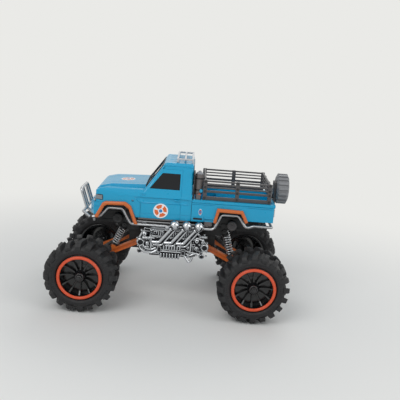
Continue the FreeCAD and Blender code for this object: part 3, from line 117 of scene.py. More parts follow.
def add(tree, kind, inputs=None, **settings):
    """Adds a node with its settings, and sets or links its inputs."""
    node = tree.nodes.new(kind)
    for key, value in settings.items():
        setattr(node, key, value)
    for key, value in (inputs or {}).items():
        if isinstance(value, bpy.types.NodeSocket):
            tree.links.new(value, node.inputs[key])
        else:
            node.inputs[key].default_value = value
    return node


# Sizes in mm of the slow drift of colour and of the uneven gloss that handling leaves
DRIFT_SIZE = 18.0
WEAR_SIZE = 4.0
# Painted shade in crevices: the share of its colour that the deepest spot keeps, and the shares of open sky
# where the painted shade starts and ends
PAINTED_SHADE_SHARE = 0.06
PAINTED_SHADE_OPEN_SKY = 0.85
PAINTED_SHADE_SHUT_SKY = 0.25


def moulding(name, colour, roughness, grain, depth, metallic=0.0, coat=0.0, spread=0.06, uneven=0.05,
             painted_shade_reach=0.0, specular=0.5):
    """A moulded finish: drift of colour, uneven gloss, and a surface grain of that size and depth in mm.

    A painted shade reach in mm paints shade, by ambient occlusion, into the corners that are nearer to each
    other than that.
    """
    material = bpy.data.materials.new(name)
    material.use_nodes = True
    tree = material.node_tree
    tree.nodes.clear()
    point = add(tree, "ShaderNodeTexCoord").outputs["Object"]
    drift = add(tree, "ShaderNodeTexNoise", {"Vector": point, "Scale": 1 / (DRIFT_SIZE * MM), "Detail": 4.0})
    base = linear(colour)
    dark = [c * (1 - spread) for c in base[:3]] + [1.0]
    light = [min(1.0, c * (1 + spread)) for c in base[:3]] + [1.0]
    tint = add(tree, "ShaderNodeMix", {0: drift.outputs["Fac"], 6: dark, 7: light}, data_type="RGBA")
    # Painted shade: ambient occlusion darkens the colour where corners close in and shade falls
    if painted_shade_reach:
        sky = add(tree, "ShaderNodeAmbientOcclusion", {"Distance": painted_shade_reach * MM}, samples=8, only_local=True)
        shaded = add(tree, "ShaderNodeMapRange", {
            "Value": sky.outputs["AO"], "From Min": PAINTED_SHADE_SHUT_SKY, "From Max": PAINTED_SHADE_OPEN_SKY,
            "To Min": 0.0, "To Max": 1.0,
        })
        painted_shade_colour = [c * PAINTED_SHADE_SHARE for c in base[:3]] + [1.0]
        tint = add(tree, "ShaderNodeMix", {
            0: shaded.outputs["Result"], 6: painted_shade_colour, 7: tint.outputs[2],
        }, data_type="RGBA")
    wear = add(tree, "ShaderNodeTexNoise", {"Vector": point, "Scale": 1 / (WEAR_SIZE * MM), "Detail": 5.0})
    gloss = add(tree, "ShaderNodeMapRange", {
        "Value": wear.outputs["Fac"], "From Min": 0.3, "From Max": 0.7,
        "To Min": max(0.02, roughness - uneven), "To Max": roughness + uneven,
    })
    fine = add(tree, "ShaderNodeTexNoise", {"Vector": point, "Scale": 1 / (grain * MM), "Detail": 2.0})
    bump = add(tree, "ShaderNodeBump", {
        "Height": fine.outputs["Fac"], "Distance": depth * MM, "Strength": 0.6,
    })
    shader = add(tree, "ShaderNodeBsdfPrincipled", {
        "Base Color": tint.outputs[2], "Roughness": gloss.outputs["Result"],
        "Normal": bump.outputs["Normal"], "Metallic": metallic, "Coat Weight": coat,
        "Coat Roughness": 0.08, "Specular IOR Level": specular,
    })
    add(tree, "ShaderNodeOutputMaterial", {"Surface": shader.outputs["BSDF"]})
    return material


# Gloss moulded ABS: a clear reflection with a faint orange peel
blue_abs = moulding("gloss_abs_light_blue", "#009FCB", 0.3, 2.2, 0.0012, coat=0.15, spread=0.025,
                    uneven=0.03)
orange_abs = moulding("satin_abs_orange", "#CD6A30", 0.38, 0.8, 0.012, coat=0.1)
red_orange_abs = moulding("satin_abs_red_orange", "#D9512B", 0.36, 0.8, 0.012, coat=0.15)
# Spark-textured ABS: a fine matt grain
black_abs = moulding("textured_abs_black", "#1B1C1E", 0.52, 0.7, 0.03, spread=0.15)
grey_abs = moulding("textured_abs_dark_grey", "#4B494A", 0.48, 0.7, 0.025, spread=0.1)
gloss_black = moulding("gloss_abs_black", "#121315", 0.2, 1.2, 0.01, coat=0.3, spread=0.1)
# Soft PVC: dull, with a mould grain and a little bloom
tyre_pvc = moulding("moulded_pvc_black", "#1D1D1F", 0.68, 0.9, 0.06, spread=0.25, uneven=0.1)
spare_pvc = moulding("moulded_pvc_light_grey", "#868789", 0.42, 0.9, 0.02, spread=0.08)
# Vacuum plating over ABS: a mirror film that follows the moulding
silver_film = moulding("satin_vacuum_plating", "#B6B8BB", 0.34, 3.0, 0.003, metallic=0.9, spread=0.03,
                       uneven=0.03)
# The bright chrome has painted shade in its corners, darkened by ambient occlusion within 3 mm
chrome_film = moulding("bright_vacuum_chrome", "#C2C5C9", 0.12, 2.4, 0.006, metallic=1.0, spread=0.05,
                       uneven=0.05, painted_shade_reach=3.0)
# Dark chrome that stands for the shade in the deep parts of the plating: painted shade in the pockets, holes
# and fields round the relief
painted_shade_chrome = moulding("vacuum_chrome_painted_shade", "#232427", 0.3, 1.6, 0.01, metallic=0.7, spread=0.2)
# Zinc-plated spring wire: bright with drawn streaks
spring_wire = moulding("zinc_plated_spring_wire", "#C8CACD", 0.3, 1.0, 0.004, metallic=1.0)
# Zinc flake on the screws: a dull grey
screw_zinc = moulding("zinc_flake_screws", "#7B7D80", 0.4, 0.8, 0.006, metallic=0.85)
# Opaque glossy panels stand for the windows
glazing = moulding("opaque_gloss_glazing", "#17191D", 0.1, 6.0, 0.004, uneven=0.04, specular=0.3,
                   spread=0.15)
# Styrene lenses: clear over a silvered or tinted back
lens = moulding("silvered_clear_lens", "#7C848A", 0.12, 2.0, 0.01, metallic=0.6, coat=0.8)
red_lens = moulding("red_styrene_lens", "#B4141A", 0.14, 2.0, 0.01, coat=0.8)
marker_lens = moulding("tinted_styrene_lens", "#0E5A78", 0.12, 2.0, 0.01, coat=0.8)
# Pale mouldings: satin on the roof rack, a fine grain on the tanks
silver_abs = moulding("satin_abs_silver_grey", "#BFC1C4", 0.34, 0.8, 0.015, metallic=0.25, spread=0.06)
light_abs = moulding("textured_abs_light_grey", "#8E9094", 0.46, 0.7, 0.02, spread=0.08)
warm_abs = moulding("textured_abs_warm_grey", "#68615F", 0.46, 0.7, 0.02, spread=0.08)
# Printed film on the body and the shrink wrap round the battery: smooth, with a soft shine
white_film = moulding("printed_film_white", "#E9ECEE", 0.3, 2.0, 0.004)
blue_film = moulding("printed_film_blue", "#2A6FB5", 0.3, 2.0, 0.004)
shrink_wrap = moulding("blue_shrink_wrap", "#23306E", 0.3, 1.0, 0.02, coat=0.3)


# Rings of the roundel's print as shares of its radius, and the sine below which a spoke stays white
PRINT_OUTER_SHARE = 0.84
PRINT_INNER_SHARE = 0.36
PRINT_HUB_SHARE = 0.24
PRINT_SPOKES = 4.0
PRINT_SPOKE_SINE = -0.72


def roundel_print():
    """Printed film, read from the UV map: an orange disc in a white rim, four white spokes, a blue hub."""
    material = bpy.data.materials.new("printed_film_roundel")
    material.use_nodes = True
    tree = material.node_tree
    tree.nodes.clear()
    place = add(tree, "ShaderNodeUVMap", uv_map="print")
    split = add(tree, "ShaderNodeSeparateXYZ", {"Vector": place.outputs["UV"]})
    reach = add(tree, "ShaderNodeVectorMath", {0: place.outputs["UV"]}, operation="LENGTH")
    radius = reach.outputs["Value"]
    angle = add(tree, "ShaderNodeMath", {0: split.outputs["Y"], 1: split.outputs["X"]}, operation="ARCTAN2")
    turns = add(tree, "ShaderNodeMath", {0: angle.outputs[0], 1: PRINT_SPOKES}, operation="MULTIPLY")
    wave = add(tree, "ShaderNodeMath", {0: turns.outputs[0]}, operation="SINE")
    wedge = add(tree, "ShaderNodeMath", {0: wave.outputs[0], 1: PRINT_SPOKE_SINE}, operation="GREATER_THAN")
    inside = add(tree, "ShaderNodeMath", {0: radius, 1: PRINT_OUTER_SHARE}, operation="LESS_THAN")
    outside = add(tree, "ShaderNodeMath", {0: radius, 1: PRINT_INNER_SHARE}, operation="GREATER_THAN")
    band = add(tree, "ShaderNodeMath", {0: inside.outputs[0], 1: outside.outputs[0]}, operation="MULTIPLY")
    orange = add(tree, "ShaderNodeMath", {0: band.outputs[0], 1: wedge.outputs[0]}, operation="MULTIPLY")
    hub = add(tree, "ShaderNodeMath", {0: radius, 1: PRINT_HUB_SHARE}, operation="LESS_THAN")
    first = add(tree, "ShaderNodeMix", {
        0: orange.outputs[0], 6: linear("#F1F3F4"), 7: linear("#E0662A"),
    }, data_type="RGBA")
    second = add(tree, "ShaderNodeMix", {
        0: hub.outputs[0], 6: first.outputs[2], 7: linear("#2C86C9"),
    }, data_type="RGBA")
    shader = add(tree, "ShaderNodeBsdfPrincipled", {
        "Base Color": second.outputs[2], "Roughness": 0.25, "Coat Weight": 0.3, "Coat Roughness": 0.1,
    })
    add(tree, "ShaderNodeOutputMaterial", {"Surface": shader.outputs["BSDF"]})
    return material


roundel_film = roundel_print()


# Turns between the axes
Z_TO_Y = Matrix.Rotation(-math.pi / 2, 4, "X")
Y_TO_Z = Matrix.Rotation(math.pi / 2, 4, "X")
Y_TO_X = Matrix.Rotation(-math.pi / 2, 4, "Z")
Y_TO_BACK = Matrix.Rotation(math.pi / 2, 4, "Z")
# Corners nearer than these many mm are one, in the scene's own meshes and in the frame's
MERGE = 0.002
FRAME_MERGE = 0.004
# How far a cutter stands proud of the panel that it grooves
PROUD = 1.6


# Mesh helpers
def link(obj):
    """The object itself, put in the scene."""
    bpy.context.scene.collection.objects.link(obj)
    return obj


def evaluated(obj):
    """The object's mesh with its modifiers applied."""
    graph = bpy.context.evaluated_depsgraph_get()
    result = obj.evaluated_get(graph)
    return bpy.data.meshes.new_from_object(result, preserve_all_data_layers=True, depsgraph=graph)


def from_points(name, points, faces):
    """A mesh from corner points in mm."""
    mesh = bpy.data.meshes.new(name)
    mesh.from_pydata([Vector(p) * MM for p in points], [], faces)
    mesh.validate()
    outward(mesh)
    return mesh


def outward(mesh):
    """Merges doubles and turns the faces outwards."""
    work = bmesh.new()
    work.from_mesh(mesh)
    bmesh.ops.remove_doubles(work, verts=work.verts, dist=MERGE * MM)
    bmesh.ops.recalc_face_normals(work, faces=work.faces)
    work.to_mesh(mesh)
    work.free()
    mesh.update()


def softened(mesh, width=0.0, segments=2, angle=32.0):
    """Bevels the edges sharper than the angle by a width in mm, and shades the rest smooth."""
    holder = link(bpy.data.objects.new("holder", mesh))
    for face in mesh.polygons:
        face.use_smooth = True
    if width > 0:
        bevel = holder.modifiers.new("edge", "BEVEL")
        bevel.width = width * MM
        bevel.segments = segments
        bevel.limit_method = "ANGLE"
        bevel.angle_limit = math.radians(angle)
        bevel.miter_outer = "MITER_ARC"
        even = holder.modifiers.new("even", "WEIGHTED_NORMAL")
        even.keep_sharp = True
        done = evaluated(holder)
    else:
        done = mesh
        done.set_sharp_from_angle(angle=math.radians(angle))
    bpy.data.objects.remove(holder)
    return done


def placed(mesh, centre=(0, 0, 0), turn=None):
    """Moves a mesh, turned first, to a centre in mm."""
    matrix = Matrix.Translation(Vector(centre) * MM)
    if turn is not None:
        matrix = matrix @ turn
    mesh.transform(matrix)
    return mesh


def joined(name, meshes):
    """Several meshes as one, each with its own corners."""
    work = bmesh.new()
    for mesh in meshes:
        work.from_mesh(mesh)
    mesh = bpy.data.meshes.new(name)
    work.to_mesh(mesh)
    work.free()
    for face in mesh.polygons:
        face.use_smooth = True
    mesh.set_sharp_from_angle(angle=math.radians(35))
    return mesh


def piece(name, mesh, material, body, slot, *nodes):
    """A finished piece that rides on a body and may stand for CAD nodes."""
    mesh.materials.clear()
    mesh.materials.append(material)
    obj = link(bpy.data.objects.new(name, mesh))
    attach(obj, body)
    if nodes:
        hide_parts(*nodes)


def rounded_line(points, bend, steps=6, closed=False):
    """Straight runs whose corners are arcs of the bend's radius, or less where a run is short."""
    points = [Vector(p) for p in points]
    count = len(points)
    line = [] if closed else [points[0]]
    for index in range(count) if closed else range(1, count - 1):
        before, corner, after = points[index - 1], points[index], points[(index + 1) % count]
        back, ahead = before - corner, after - corner
        turn = math.pi - back.angle(ahead)
        if turn < 0.01:
            line.append(corner)
            continue
        reach = min(bend * math.tan(turn / 2), back.length * 0.48, ahead.length * 0.48)
        start = corner + back.normalized() * reach
        end = corner + ahead.normalized() * reach
        for step in range(steps + 1):
            share = step / steps
            line.append(start.lerp(corner, share).lerp(corner.lerp(end, share), share))
    if not closed:
        line.append(points[-1])
    return line


def angles(count):
    """The angles that part a full turn."""
    return [2 * math.pi * k / count for k in range(count)]


def between(rings, row, after):
    """The faces between two rings of points, by their rows."""
    size = len(rings[0])
    faces = []
    for index in range(size):
        side = (index + 1) % size
        faces.append((row * size + index, row * size + side, after * size + side, after * size + index))
    return faces


def skinned(rings):
    """Faces between successive rings of points, capped at both ends."""
    size = len(rings[0])
    points = [p for ring in rings for p in ring]
    faces = []
    for row in range(len(rings) - 1):
        faces += between(rings, row, row + 1)
    faces.append(tuple(range(size)))
    faces.append(tuple(range((len(rings) - 1) * size, len(rings) * size)))
    return from_points("skin", points, faces)


def tube(points, radius, bend=0.0, sides=20):
    """A round tube along a line, with a frame carried along it so that it never twists."""
    line = rounded_line(points, bend) if bend else [Vector(p) for p in points]
    last = len(line) - 1
    ways = [(line[min(k + 1, last)] - line[max(k - 1, 0)]).normalized() for k in range(last + 1)]
    normal = ways[0].orthogonal().normalized()
    rings = []
    for index, way in enumerate(ways):
        normal = (normal - way * normal.dot(way)).normalized()
        side = way.cross(normal)
        wide = radius[index] if isinstance(radius, list) else radius
        around = [normal * math.cos(a) + side * math.sin(a) for a in angles(sides)]
        rings.append([line[index] + out * wide for out in around])
    return skinned(rings)


def turned(section, steps):
    """A closed section of (radius, along) points turned about the Y axis."""
    rings = [[Vector((r * math.sin(a), y, r * math.cos(a))) for r, y in section] for a in angles(steps)]
    points = [p for ring in rings for p in ring]
    faces = []
    for step in range(steps):
        faces += between(rings, step, (step + 1) % steps)
    return from_points("turned", points, faces)


def lathe(section, bend, arc_steps, steps):
    """A closed (radius, along) section with rounded corners, turned about the Y axis."""
    line = rounded_line([(r, y, 0) for r, y in section], bend, arc_steps, closed=True)
    return turned([(p.x, p.y) for p in line], steps)


def block(low, high, width=0.4, segments=2):
    """A bevelled block between two corners in mm."""
    (x0, y0, z0), (x1, y1, z1) = low, high
    points = [(x, y, z) for x in (x0, x1) for y in (y0, y1) for z in (z0, z1)]
    faces = [(0, 1, 3, 2), (4, 6, 7, 5), (0, 4, 5, 1), (2, 3, 7, 6), (0, 2, 6, 4), (1, 5, 7, 3)]
    return softened(from_points("block", points, faces), width, segments)


def plate(outline, y_low, y_high, width=0.5, segments=3):
    """A bevelled plate whose outline is X and Z points, between two Y values."""
    count = len(outline)
    points = [(x, y_low, z) for x, z in outline] + [(x, y_high, z) for x, z in outline]
    faces = [tuple(range(count)), tuple(range(count, 2 * count))]
    for index in range(count):
        after = (index + 1) % count
        faces.append((index, after, count + after, count + index))
    return softened(from_points("plate", points, faces), width, segments)


def merged_copy(node):
    """A copy of a CAD node's mesh with its doubles merged and its flat faces whole."""
    mesh = frame["nodes"][node].data.copy()
    work = bmesh.new()
    work.from_mesh(mesh)
    bmesh.ops.remove_doubles(work, verts=work.verts, dist=FRAME_MERGE * MM)
    bmesh.ops.dissolve_limit(work, angle_limit=math.radians(1.0), verts=work.verts, edges=work.edges)
    work.to_mesh(mesh)
    work.free()
    return mesh


def carved(mesh, width, cutters, segments, angle=32.0):
    """A bevelled mesh with grooves and recesses cut into its panels."""
    holder = link(bpy.data.objects.new("holder", mesh))
    for face in mesh.polygons:
        face.use_smooth = True
    bevel = holder.modifiers.new("edge", "BEVEL")
    bevel.width = width * MM
    bevel.segments = segments
    bevel.limit_method = "ANGLE"
    bevel.angle_limit = math.radians(angle)
    tools = []
    for cutter in cutters:
        tools.append(link(bpy.data.objects.new("cutter", cutter)))
        cut = holder.modifiers.new("cut", "BOOLEAN")
        cut.operation = "DIFFERENCE"
        cut.solver = "EXACT"
        cut.object = tools[-1]
    holder.modifiers.new("even", "WEIGHTED_NORMAL")
    done = evaluated(holder)
    for item in [holder] + tools:
        bpy.data.objects.remove(item)
    return done


def trench(line, facings, width, depth):
    """A cutter along a line on a surface, as wide and deep as the groove and proud of the surface."""
    line = [Vector(p) for p in line]
    if not isinstance(facings, list):
        facings = [facings] * len(line)
    last = len(line) - 1
    rings = []
    for index, (point, facing) in enumerate(zip(line, facings)):
        facing = Vector(facing).normalized()
        ahead = line[min(index + 1, last)] - line[max(index - 1, 0)]
        side = ahead.cross(facing).normalized() * (width / 2)
        low, high = point - facing * depth, point + facing * PROUD
        rings.append([low - side, low + side, high + side, high - side])
    return skinned(rings)


def interpolated(levels, height):
    """The value at a height from a list of (height, value) levels."""
    for (low, first), (high, second) in zip(levels, levels[1:]):
        if height <= high:
            return first + (second - first) * (height - low) / (high - low)
    return levels[-1][1]


def seam(points, levels, width, depth):
    """A cutter for a groove on the body's left side, through X and Z points, at the Y of its levels."""
    line = []
    for start, end in zip(points, points[1:]):
        shares = [0.0] + sorted(
            (height - start[1]) / (end[1] - start[1]) for height, _ in levels
            if min(start[1], end[1]) < height < max(start[1], end[1])
        )
        run, rise = end[0] - start[0], end[1] - start[1]
        line += [(start[0] + run * share, start[1] + rise * share) for share in shares]
    line.append(points[-1])
    return trench([(x, interpolated(levels, z), z) for x, z in line], (0, 1, 0), width, depth)


def mirrored(mesh):
    """A copy on the other side of the truck."""
    other = mesh.copy()
    other.transform(Matrix.Scale(-1, 4, Vector((0, 1, 0))))
    other.flip_normals()
    return other


def on_side(mesh, side):
    """The mesh itself on the left side, where side is 1, or its mirror on the right."""
    return mesh if side > 0 else mirrored(mesh)


def sided(side, points):
    """Points of the left side, or the same on the right."""
    return [(x, side * y, z) for x, y, z in points]


def facing_side(side):
    """The turn that points +Y outwards on a side."""
    return Matrix.Identity(4) if side > 0 else Matrix.Rotation(math.pi, 4, "Z")


def side_block(side, low, high, width=0.4, segments=2):
    """A bevelled block between two corners of the left side, or the same on the right."""
    y_low, y_high = sorted((side * low[1], side * high[1]))
    return block((low[0], y_low, low[2]), (high[0], y_high, high[2]), width, segments)


# Geometry Nodes trees for what repeats or follows a line
def new_tree(name, inputs):
    """An empty tree with a geometry input and output, and its other inputs."""
    tree = bpy.data.node_groups.new(name, "GeometryNodeTree")
    tree.interface.new_socket("Geometry", in_out="INPUT", socket_type="NodeSocketGeometry")
    for label, kind in inputs:
        tree.interface.new_socket(label, in_out="INPUT", socket_type=kind)
    tree.interface.new_socket("Geometry", in_out="OUTPUT", socket_type="NodeSocketGeometry")
    return tree, add(tree, "NodeGroupInput")


def ended(tree, given, geometry):
    """Realizes the instances, sets the material and ends the tree."""
    real = add(tree, "GeometryNodeRealizeInstances", {"Geometry": geometry})
    painted = add(tree, "GeometryNodeSetMaterial", {
        "Geometry": real.outputs[0], "Material": given.outputs["Material"],
    })
    add(tree, "NodeGroupOutput", {"Geometry": painted.outputs[0]})
    return tree


def ring_tree():
    """Copies of the mesh turned about the Y axis."""
    tree, given = new_tree("ring_of_copies", [
        ("Count", "NodeSocketInt"), ("First Angle", "NodeSocketFloat"), ("Material", "NodeSocketMaterial"),
    ])
    spots = add(tree, "GeometryNodeMeshLine", {"Count": given.outputs["Count"], "Offset": (0, 0, 0)})
    copies = add(tree, "GeometryNodeInstanceOnPoints", {
        "Points": spots.outputs["Mesh"], "Instance": given.outputs["Geometry"],
    })
    index = add(tree, "GeometryNodeInputIndex")
    step = add(tree, "ShaderNodeMath", {0: 2 * math.pi, 1: given.outputs["Count"]}, operation="DIVIDE")
    angle = add(tree, "ShaderNodeMath", {
        0: index.outputs[0], 1: step.outputs[0], 2: given.outputs["First Angle"],
    }, operation="MULTIPLY_ADD")
    turn = add(tree, "FunctionNodeAxisAngleToRotation", {"Axis": (0, 1, 0), "Angle": angle.outputs[0]})
    turned_copies = add(tree, "GeometryNodeRotateInstances", {
        "Instances": copies.outputs[0], "Rotation": turn.outputs[0], "Local Space": False,
    })
    return ended(tree, given, turned_copies.outputs[0])


def row_tree():
    """Copies of the mesh along a straight row."""
    tree, given = new_tree("row_of_copies", [
        ("Count", "NodeSocketInt"), ("Step", "NodeSocketVector"), ("Material", "NodeSocketMaterial"),
    ])
    spots = add(tree, "GeometryNodeMeshLine", {
        "Count": given.outputs["Count"], "Offset": given.outputs["Step"],
    })
    copies = add(tree, "GeometryNodeInstanceOnPoints", {
        "Points": spots.outputs["Mesh"], "Instance": given.outputs["Geometry"],
    })
    return ended(tree, given, copies.outputs[0])


def stud_tree():
    """A stud on each point, turned to the point's facing."""
    tree, given = new_tree("studs_on_points", [
        ("Stud", "NodeSocketObject"), ("Material", "NodeSocketMaterial"),
    ])
    stud = add(tree, "GeometryNodeObjectInfo", {"Object": given.outputs["Stud"]})
    facing = add(tree, "GeometryNodeInputNamedAttribute", {"Name": "facing"}, data_type="FLOAT_VECTOR")
    turn = add(tree, "FunctionNodeAlignRotationToVector", {"Vector": facing.outputs[0]}, axis="Z")
    copies = add(tree, "GeometryNodeInstanceOnPoints", {
        "Points": given.outputs["Geometry"], "Instance": stud.outputs["Geometry"],
        "Rotation": turn.outputs[0],
    })
    return ended(tree, given, copies.outputs[0])


def coil_tree():
    """Wire wound along Z."""
    tree, given = new_tree("wound_wire", [
        ("Turns", "NodeSocketFloat"), ("Radius", "NodeSocketFloat"), ("Height", "NodeSocketFloat"),
        ("Wire", "NodeSocketFloat"), ("Material", "NodeSocketMaterial"),
    ])
    line = add(tree, "GeometryNodeCurveSpiral", {
        "Resolution": 28, "Rotations": given.outputs["Turns"], "Start Radius": given.outputs["Radius"],
        "End Radius": given.outputs["Radius"], "Height": given.outputs["Height"],
    })
    section = add(tree, "GeometryNodeCurvePrimitiveCircle", {
        "Resolution": 12, "Radius": given.outputs["Wire"],
    })
    wire = add(tree, "GeometryNodeCurveToMesh", {
        "Curve": line.outputs[0], "Profile Curve": section.outputs[0], "Fill Caps": True,
    })
    return ended(tree, given, wire.outputs[0])


ring_of_copies = ring_tree()
row_of_copies = row_tree()
studs_on_points = stud_tree()
wound_wire = coil_tree()


def grown(tree, start, **values):
    """The plain mesh that a tree makes from a starting mesh; values are named as its inputs."""
    holder = link(bpy.data.objects.new("holder", start))
    modifier = holder.modifiers.new("grow", "NODES")
    modifier.node_group = tree
    names = {item.name: item.identifier for item in tree.interface.items_tree if item.in_out == "INPUT"}
    for key, value in values.items():
        modifier[names[key.replace("_", " ")]] = value
    mesh = evaluated(holder)
    bpy.data.objects.remove(holder)
    for face in mesh.polygons:
        face.use_smooth = True
    mesh.set_sharp_from_angle(angle=math.radians(40))
    return mesh


def ring_of(mesh, count, material, first=0.0):
    """Copies of a mesh turned about the Y axis, from a first angle."""
    return grown(ring_of_copies, mesh, Count=count, First_Angle=first, Material=material)


# A head's width over its corners for each width across its flats, and its levels: height and half its width
HEX_CORNER_SHARE = 1.155
HEX_LEVEL_SHARES = ((0.75, 0.5), (1.0, 0.42))
HEAD_SINK = 0.4
WASHER_Z = (-0.3, 0.25)


def hex_head(across, height, washer=0.0):
    """A hexagon head that stands along Z, on a washer where that has a width."""
    rings = []
    for z, share in [(-HEAD_SINK, 0.5)] + [(height * level, half) for level, half in HEX_LEVEL_SHARES]:
        radius = across * share * HEX_CORNER_SHARE
        rings.append([(radius * math.cos(a), radius * math.sin(a), z) for a in angles(6)])
    parts = [skinned(rings)]
    if washer:
        circle = [(washer / 2 * math.cos(a), washer / 2 * math.sin(a)) for a in angles(16)]
        parts.append(skinned([[(x, y, z) for x, y in circle] for z in WASHER_Z]))
    return joined("hex_head", parts)


def studded(places, facings, stud, material):
    """Studs at places in mm, each turned to its facing."""
    mesh = bpy.data.meshes.new("places")
    mesh.from_pydata([Vector(p) * MM for p in places], [], [])
    attribute = mesh.attributes.new("facing", "FLOAT_VECTOR", "POINT")
    for item, facing in zip(attribute.data, facings):
        item.vector = facing
    model = link(bpy.data.objects.new("stud", stud))
    done = grown(studs_on_points, mesh, Stud=model, Material=material)
    bpy.data.objects.remove(model)
    return done


# Ways
UP = (0, 0, 1)
DOWN = (0, 0, -1)
FORWARD = (1, 0, 0)
BACKWARD = (-1, 0, 0)
LEFTWARD = (0, 1, 0)
RIGHTWARD = (0, -1, 0)

# Wheels, about the Y axis with the outer face towards +Y
WHEEL_STEPS = 120
LUG_EDGE = 0.55
LUG_EDGE_ANGLE = 25.0
LUG_FOOT_SHARE = 1.05
LUG_CROWN_SHARE = 0.92
# Stations across a lug: Y, shift round the tyre, width, and radius at its foot and at its crown
LUG_BODY = (
    (9.0, -1.2, 6.0, 41.6, LUG_TOP), (16.5, 1.0, 6.8, 41.0, LUG_TOP - 0.2),
    (21.3, 2.2, 7.4, 39.6, LUG_TOP - 2.0),
)
LONG_LUG = (
    (1.2, -3.0, 5.4, 41.6, LUG_TOP - 0.5), *LUG_BODY, (TYRE_HALF, 2.8, 7.6, 37.5, LUG_TOP - 5.6),
)
SHORT_LUG = (
    (7.5, -1.6, 5.4, 41.6, LUG_TOP - 0.5), *LUG_BODY, (TYRE_HALF, 2.8, 7.6, 39.0, LUG_TOP - 5.6),
)
# Half section of the carcass: radius, and distance in from the sidewall
CARCASS_HALF = ((BEAD, 2.6), (33.4, 0.7), (37.8, 0.2), (41.0, 2.2), (CARCASS, 7.0))
CARCASS_BEND = 3.0
SIDE_RIB_COUNT = 72
SIDE_RIB = ((-0.35, TYRE_HALF - 1.2, 34.2), (0.35, TYRE_HALF + 0.1, 37.2))

# Sections of the rim, as radius and Y
BARREL_OUTER = BEAD - 0.3
BARREL_LIP = TYRE_HALF - 3.0
BARREL_SECTION = (
    (BARREL_OUTER, -BARREL_LIP), (BARREL_OUTER, BARREL_LIP), (BARREL_OUTER - 3.4, BARREL_LIP),
    (BARREL_OUTER - 3.4, BARREL_LIP - 2.0), (BARREL_OUTER - 5.2, BARREL_LIP - 9.0),
    (BARREL_OUTER - 5.2, -BARREL_LIP + 3.0), (BARREL_OUTER - 3.0, -BARREL_LIP),
)
DISH_SECTION = ((3.4, 8.6), (14.0, 7.4), (25.5, 9.0), (25.5, 6.6), (14.0, 4.6), (3.4, 4.6))
HUB_SECTION = ((3.2, 2.0), (8.4, 2.0), (8.4, 15.0), (7.0, 17.0), (6.4, 20.5), (5.4, 21.8), (3.2, 21.8))
NUT_SECTION = ((4.4, 20.0), (4.4, 23.6), (3.6, 24.4))
NUT_CAP_SECTION = ((0.05, 23.9), (2.4, 23.9), (2.2, 25.6), (0.05, 26.0))
# Stations of a spoke: radius, Y of its face, half its width there, and its depth
SPOKE_STATIONS = (
    (4.0, 15.5, 0.9, 5.0), (12.0, 12.5, 0.95, 4.4), (21.0, 12.6, 1.0, 5.0), (27.0, 16.5, 1.2, 6.5),
)
SPOKE_FLARE_SHARE = 1.5
HUB_BOLT_COUNT = 6
HUB_BOLT_SPOT = (0, 15.0, 6.9)
HUB_BOLT_FIRST = 0.3

# Bead ring
RING_FOOT = TYRE_HALF - 2.9
RING_SECTION = (
    (RING_OUTER, RING_FOOT), (RING_OUTER, RING_FOOT + 1.6), (RING_OUTER - 1.2, RING_FOOT + 2.9),
    (RING_INNER + 0.8, RING_FOOT + 2.9), (RING_INNER, RING_FOOT + 1.9), (RING_INNER, RING_FOOT),
)
RING_SCREW_COUNT = 16
RING_SCREW_SPOT = (0, RING_FOOT + 2.75, 27.4)


def tyre_lug(stations):
    """One block of the tread: it leans, widens to the shoulder and wraps over it."""
    rings = []
    for y, shift, width, foot, crown in stations:
        wide = width / 2 * LUG_FOOT_SHARE
        slim = width / 2 * LUG_CROWN_SHARE
        rings.append([
            (shift - wide, y, foot), (shift - slim, y, crown),
            (shift + slim, y, crown), (shift + wide, y, foot),
        ])
    return softened(skinned(rings), LUG_EDGE, segments=2, angle=LUG_EDGE_ANGLE)


def tyre_mesh():
    """Carcass, sidewall ribs and two staggered rows of lugs, long and short by turns."""
    outline = [(radius, TYRE_HALF - inset) for radius, inset in CARCASS_HALF]
    outline += [(radius, inset - TYRE_HALF) for radius, inset in reversed(CARCASS_HALF)]
    parts = [lathe(outline, CARCASS_BEND, arc_steps=4, steps=WHEEL_STEPS)]
    pitch = 4 * math.pi / LUG_COUNT
    for side in (1, -1):
        stagger = 0.0 if side > 0 else 0.25
        for stations, phase in ((LONG_LUG, 0.0), (SHORT_LUG, 0.5)):
            lug = on_side(tyre_lug(stations), side)
            parts.append(ring_of(lug, LUG_COUNT // 2, tyre_pvc, pitch * (phase + stagger)))
        rib = on_side(block(*SIDE_RIB, width=0.2, segments=1), side)
        parts.append(ring_of(rib, SIDE_RIB_COUNT, tyre_pvc))
    return joined("tyre", parts)


def rim_mesh():
    """Barrel with lips, slim spokes that meet at the hub, the dish behind them, and nut and bolts."""
    rib = []
    for radius, y, half, depth in SPOKE_STATIONS:
        wide = half * SPOKE_FLARE_SHARE
        back = y - depth
        rib.append([(-half, y, radius), (half, y, radius), (wide, back, radius), (-wide, back, radius)])
    nut = skinned([[(r * math.cos(a), y, r * math.sin(a)) for a in angles(6)] for r, y in NUT_SECTION])
    bolt = placed(hex_head(across=2.0, height=1.2), HUB_BOLT_SPOT, Z_TO_Y)
    return joined("rim", [
        lathe(BARREL_SECTION, bend=0.8, arc_steps=3, steps=WHEEL_STEPS),
        ring_of(softened(skinned(rib), width=0.3, segments=2), SPOKE_COUNT, gloss_black),
        lathe(DISH_SECTION, bend=0.5, arc_steps=2, steps=96),
        lathe(HUB_SECTION, bend=0.7, arc_steps=3, steps=64),
        softened(nut, width=0.3, segments=2),
        lathe(NUT_CAP_SECTION, bend=0.4, arc_steps=3, steps=32),
        ring_of(bolt, HUB_BOLT_COUNT, gloss_black, HUB_BOLT_FIRST),
    ])


def ring_mesh():
    """Bead ring: a crowned band with a step inside and shallow screw heads."""
    head = placed(hex_head(across=1.5, height=0.4), RING_SCREW_SPOT, Z_TO_Y)
    heads = ring_of(head, RING_SCREW_COUNT, red_orange_abs)
    return joined("bead_ring", [lathe(RING_SECTION, bend=0.8, arc_steps=4, steps=WHEEL_STEPS), heads])


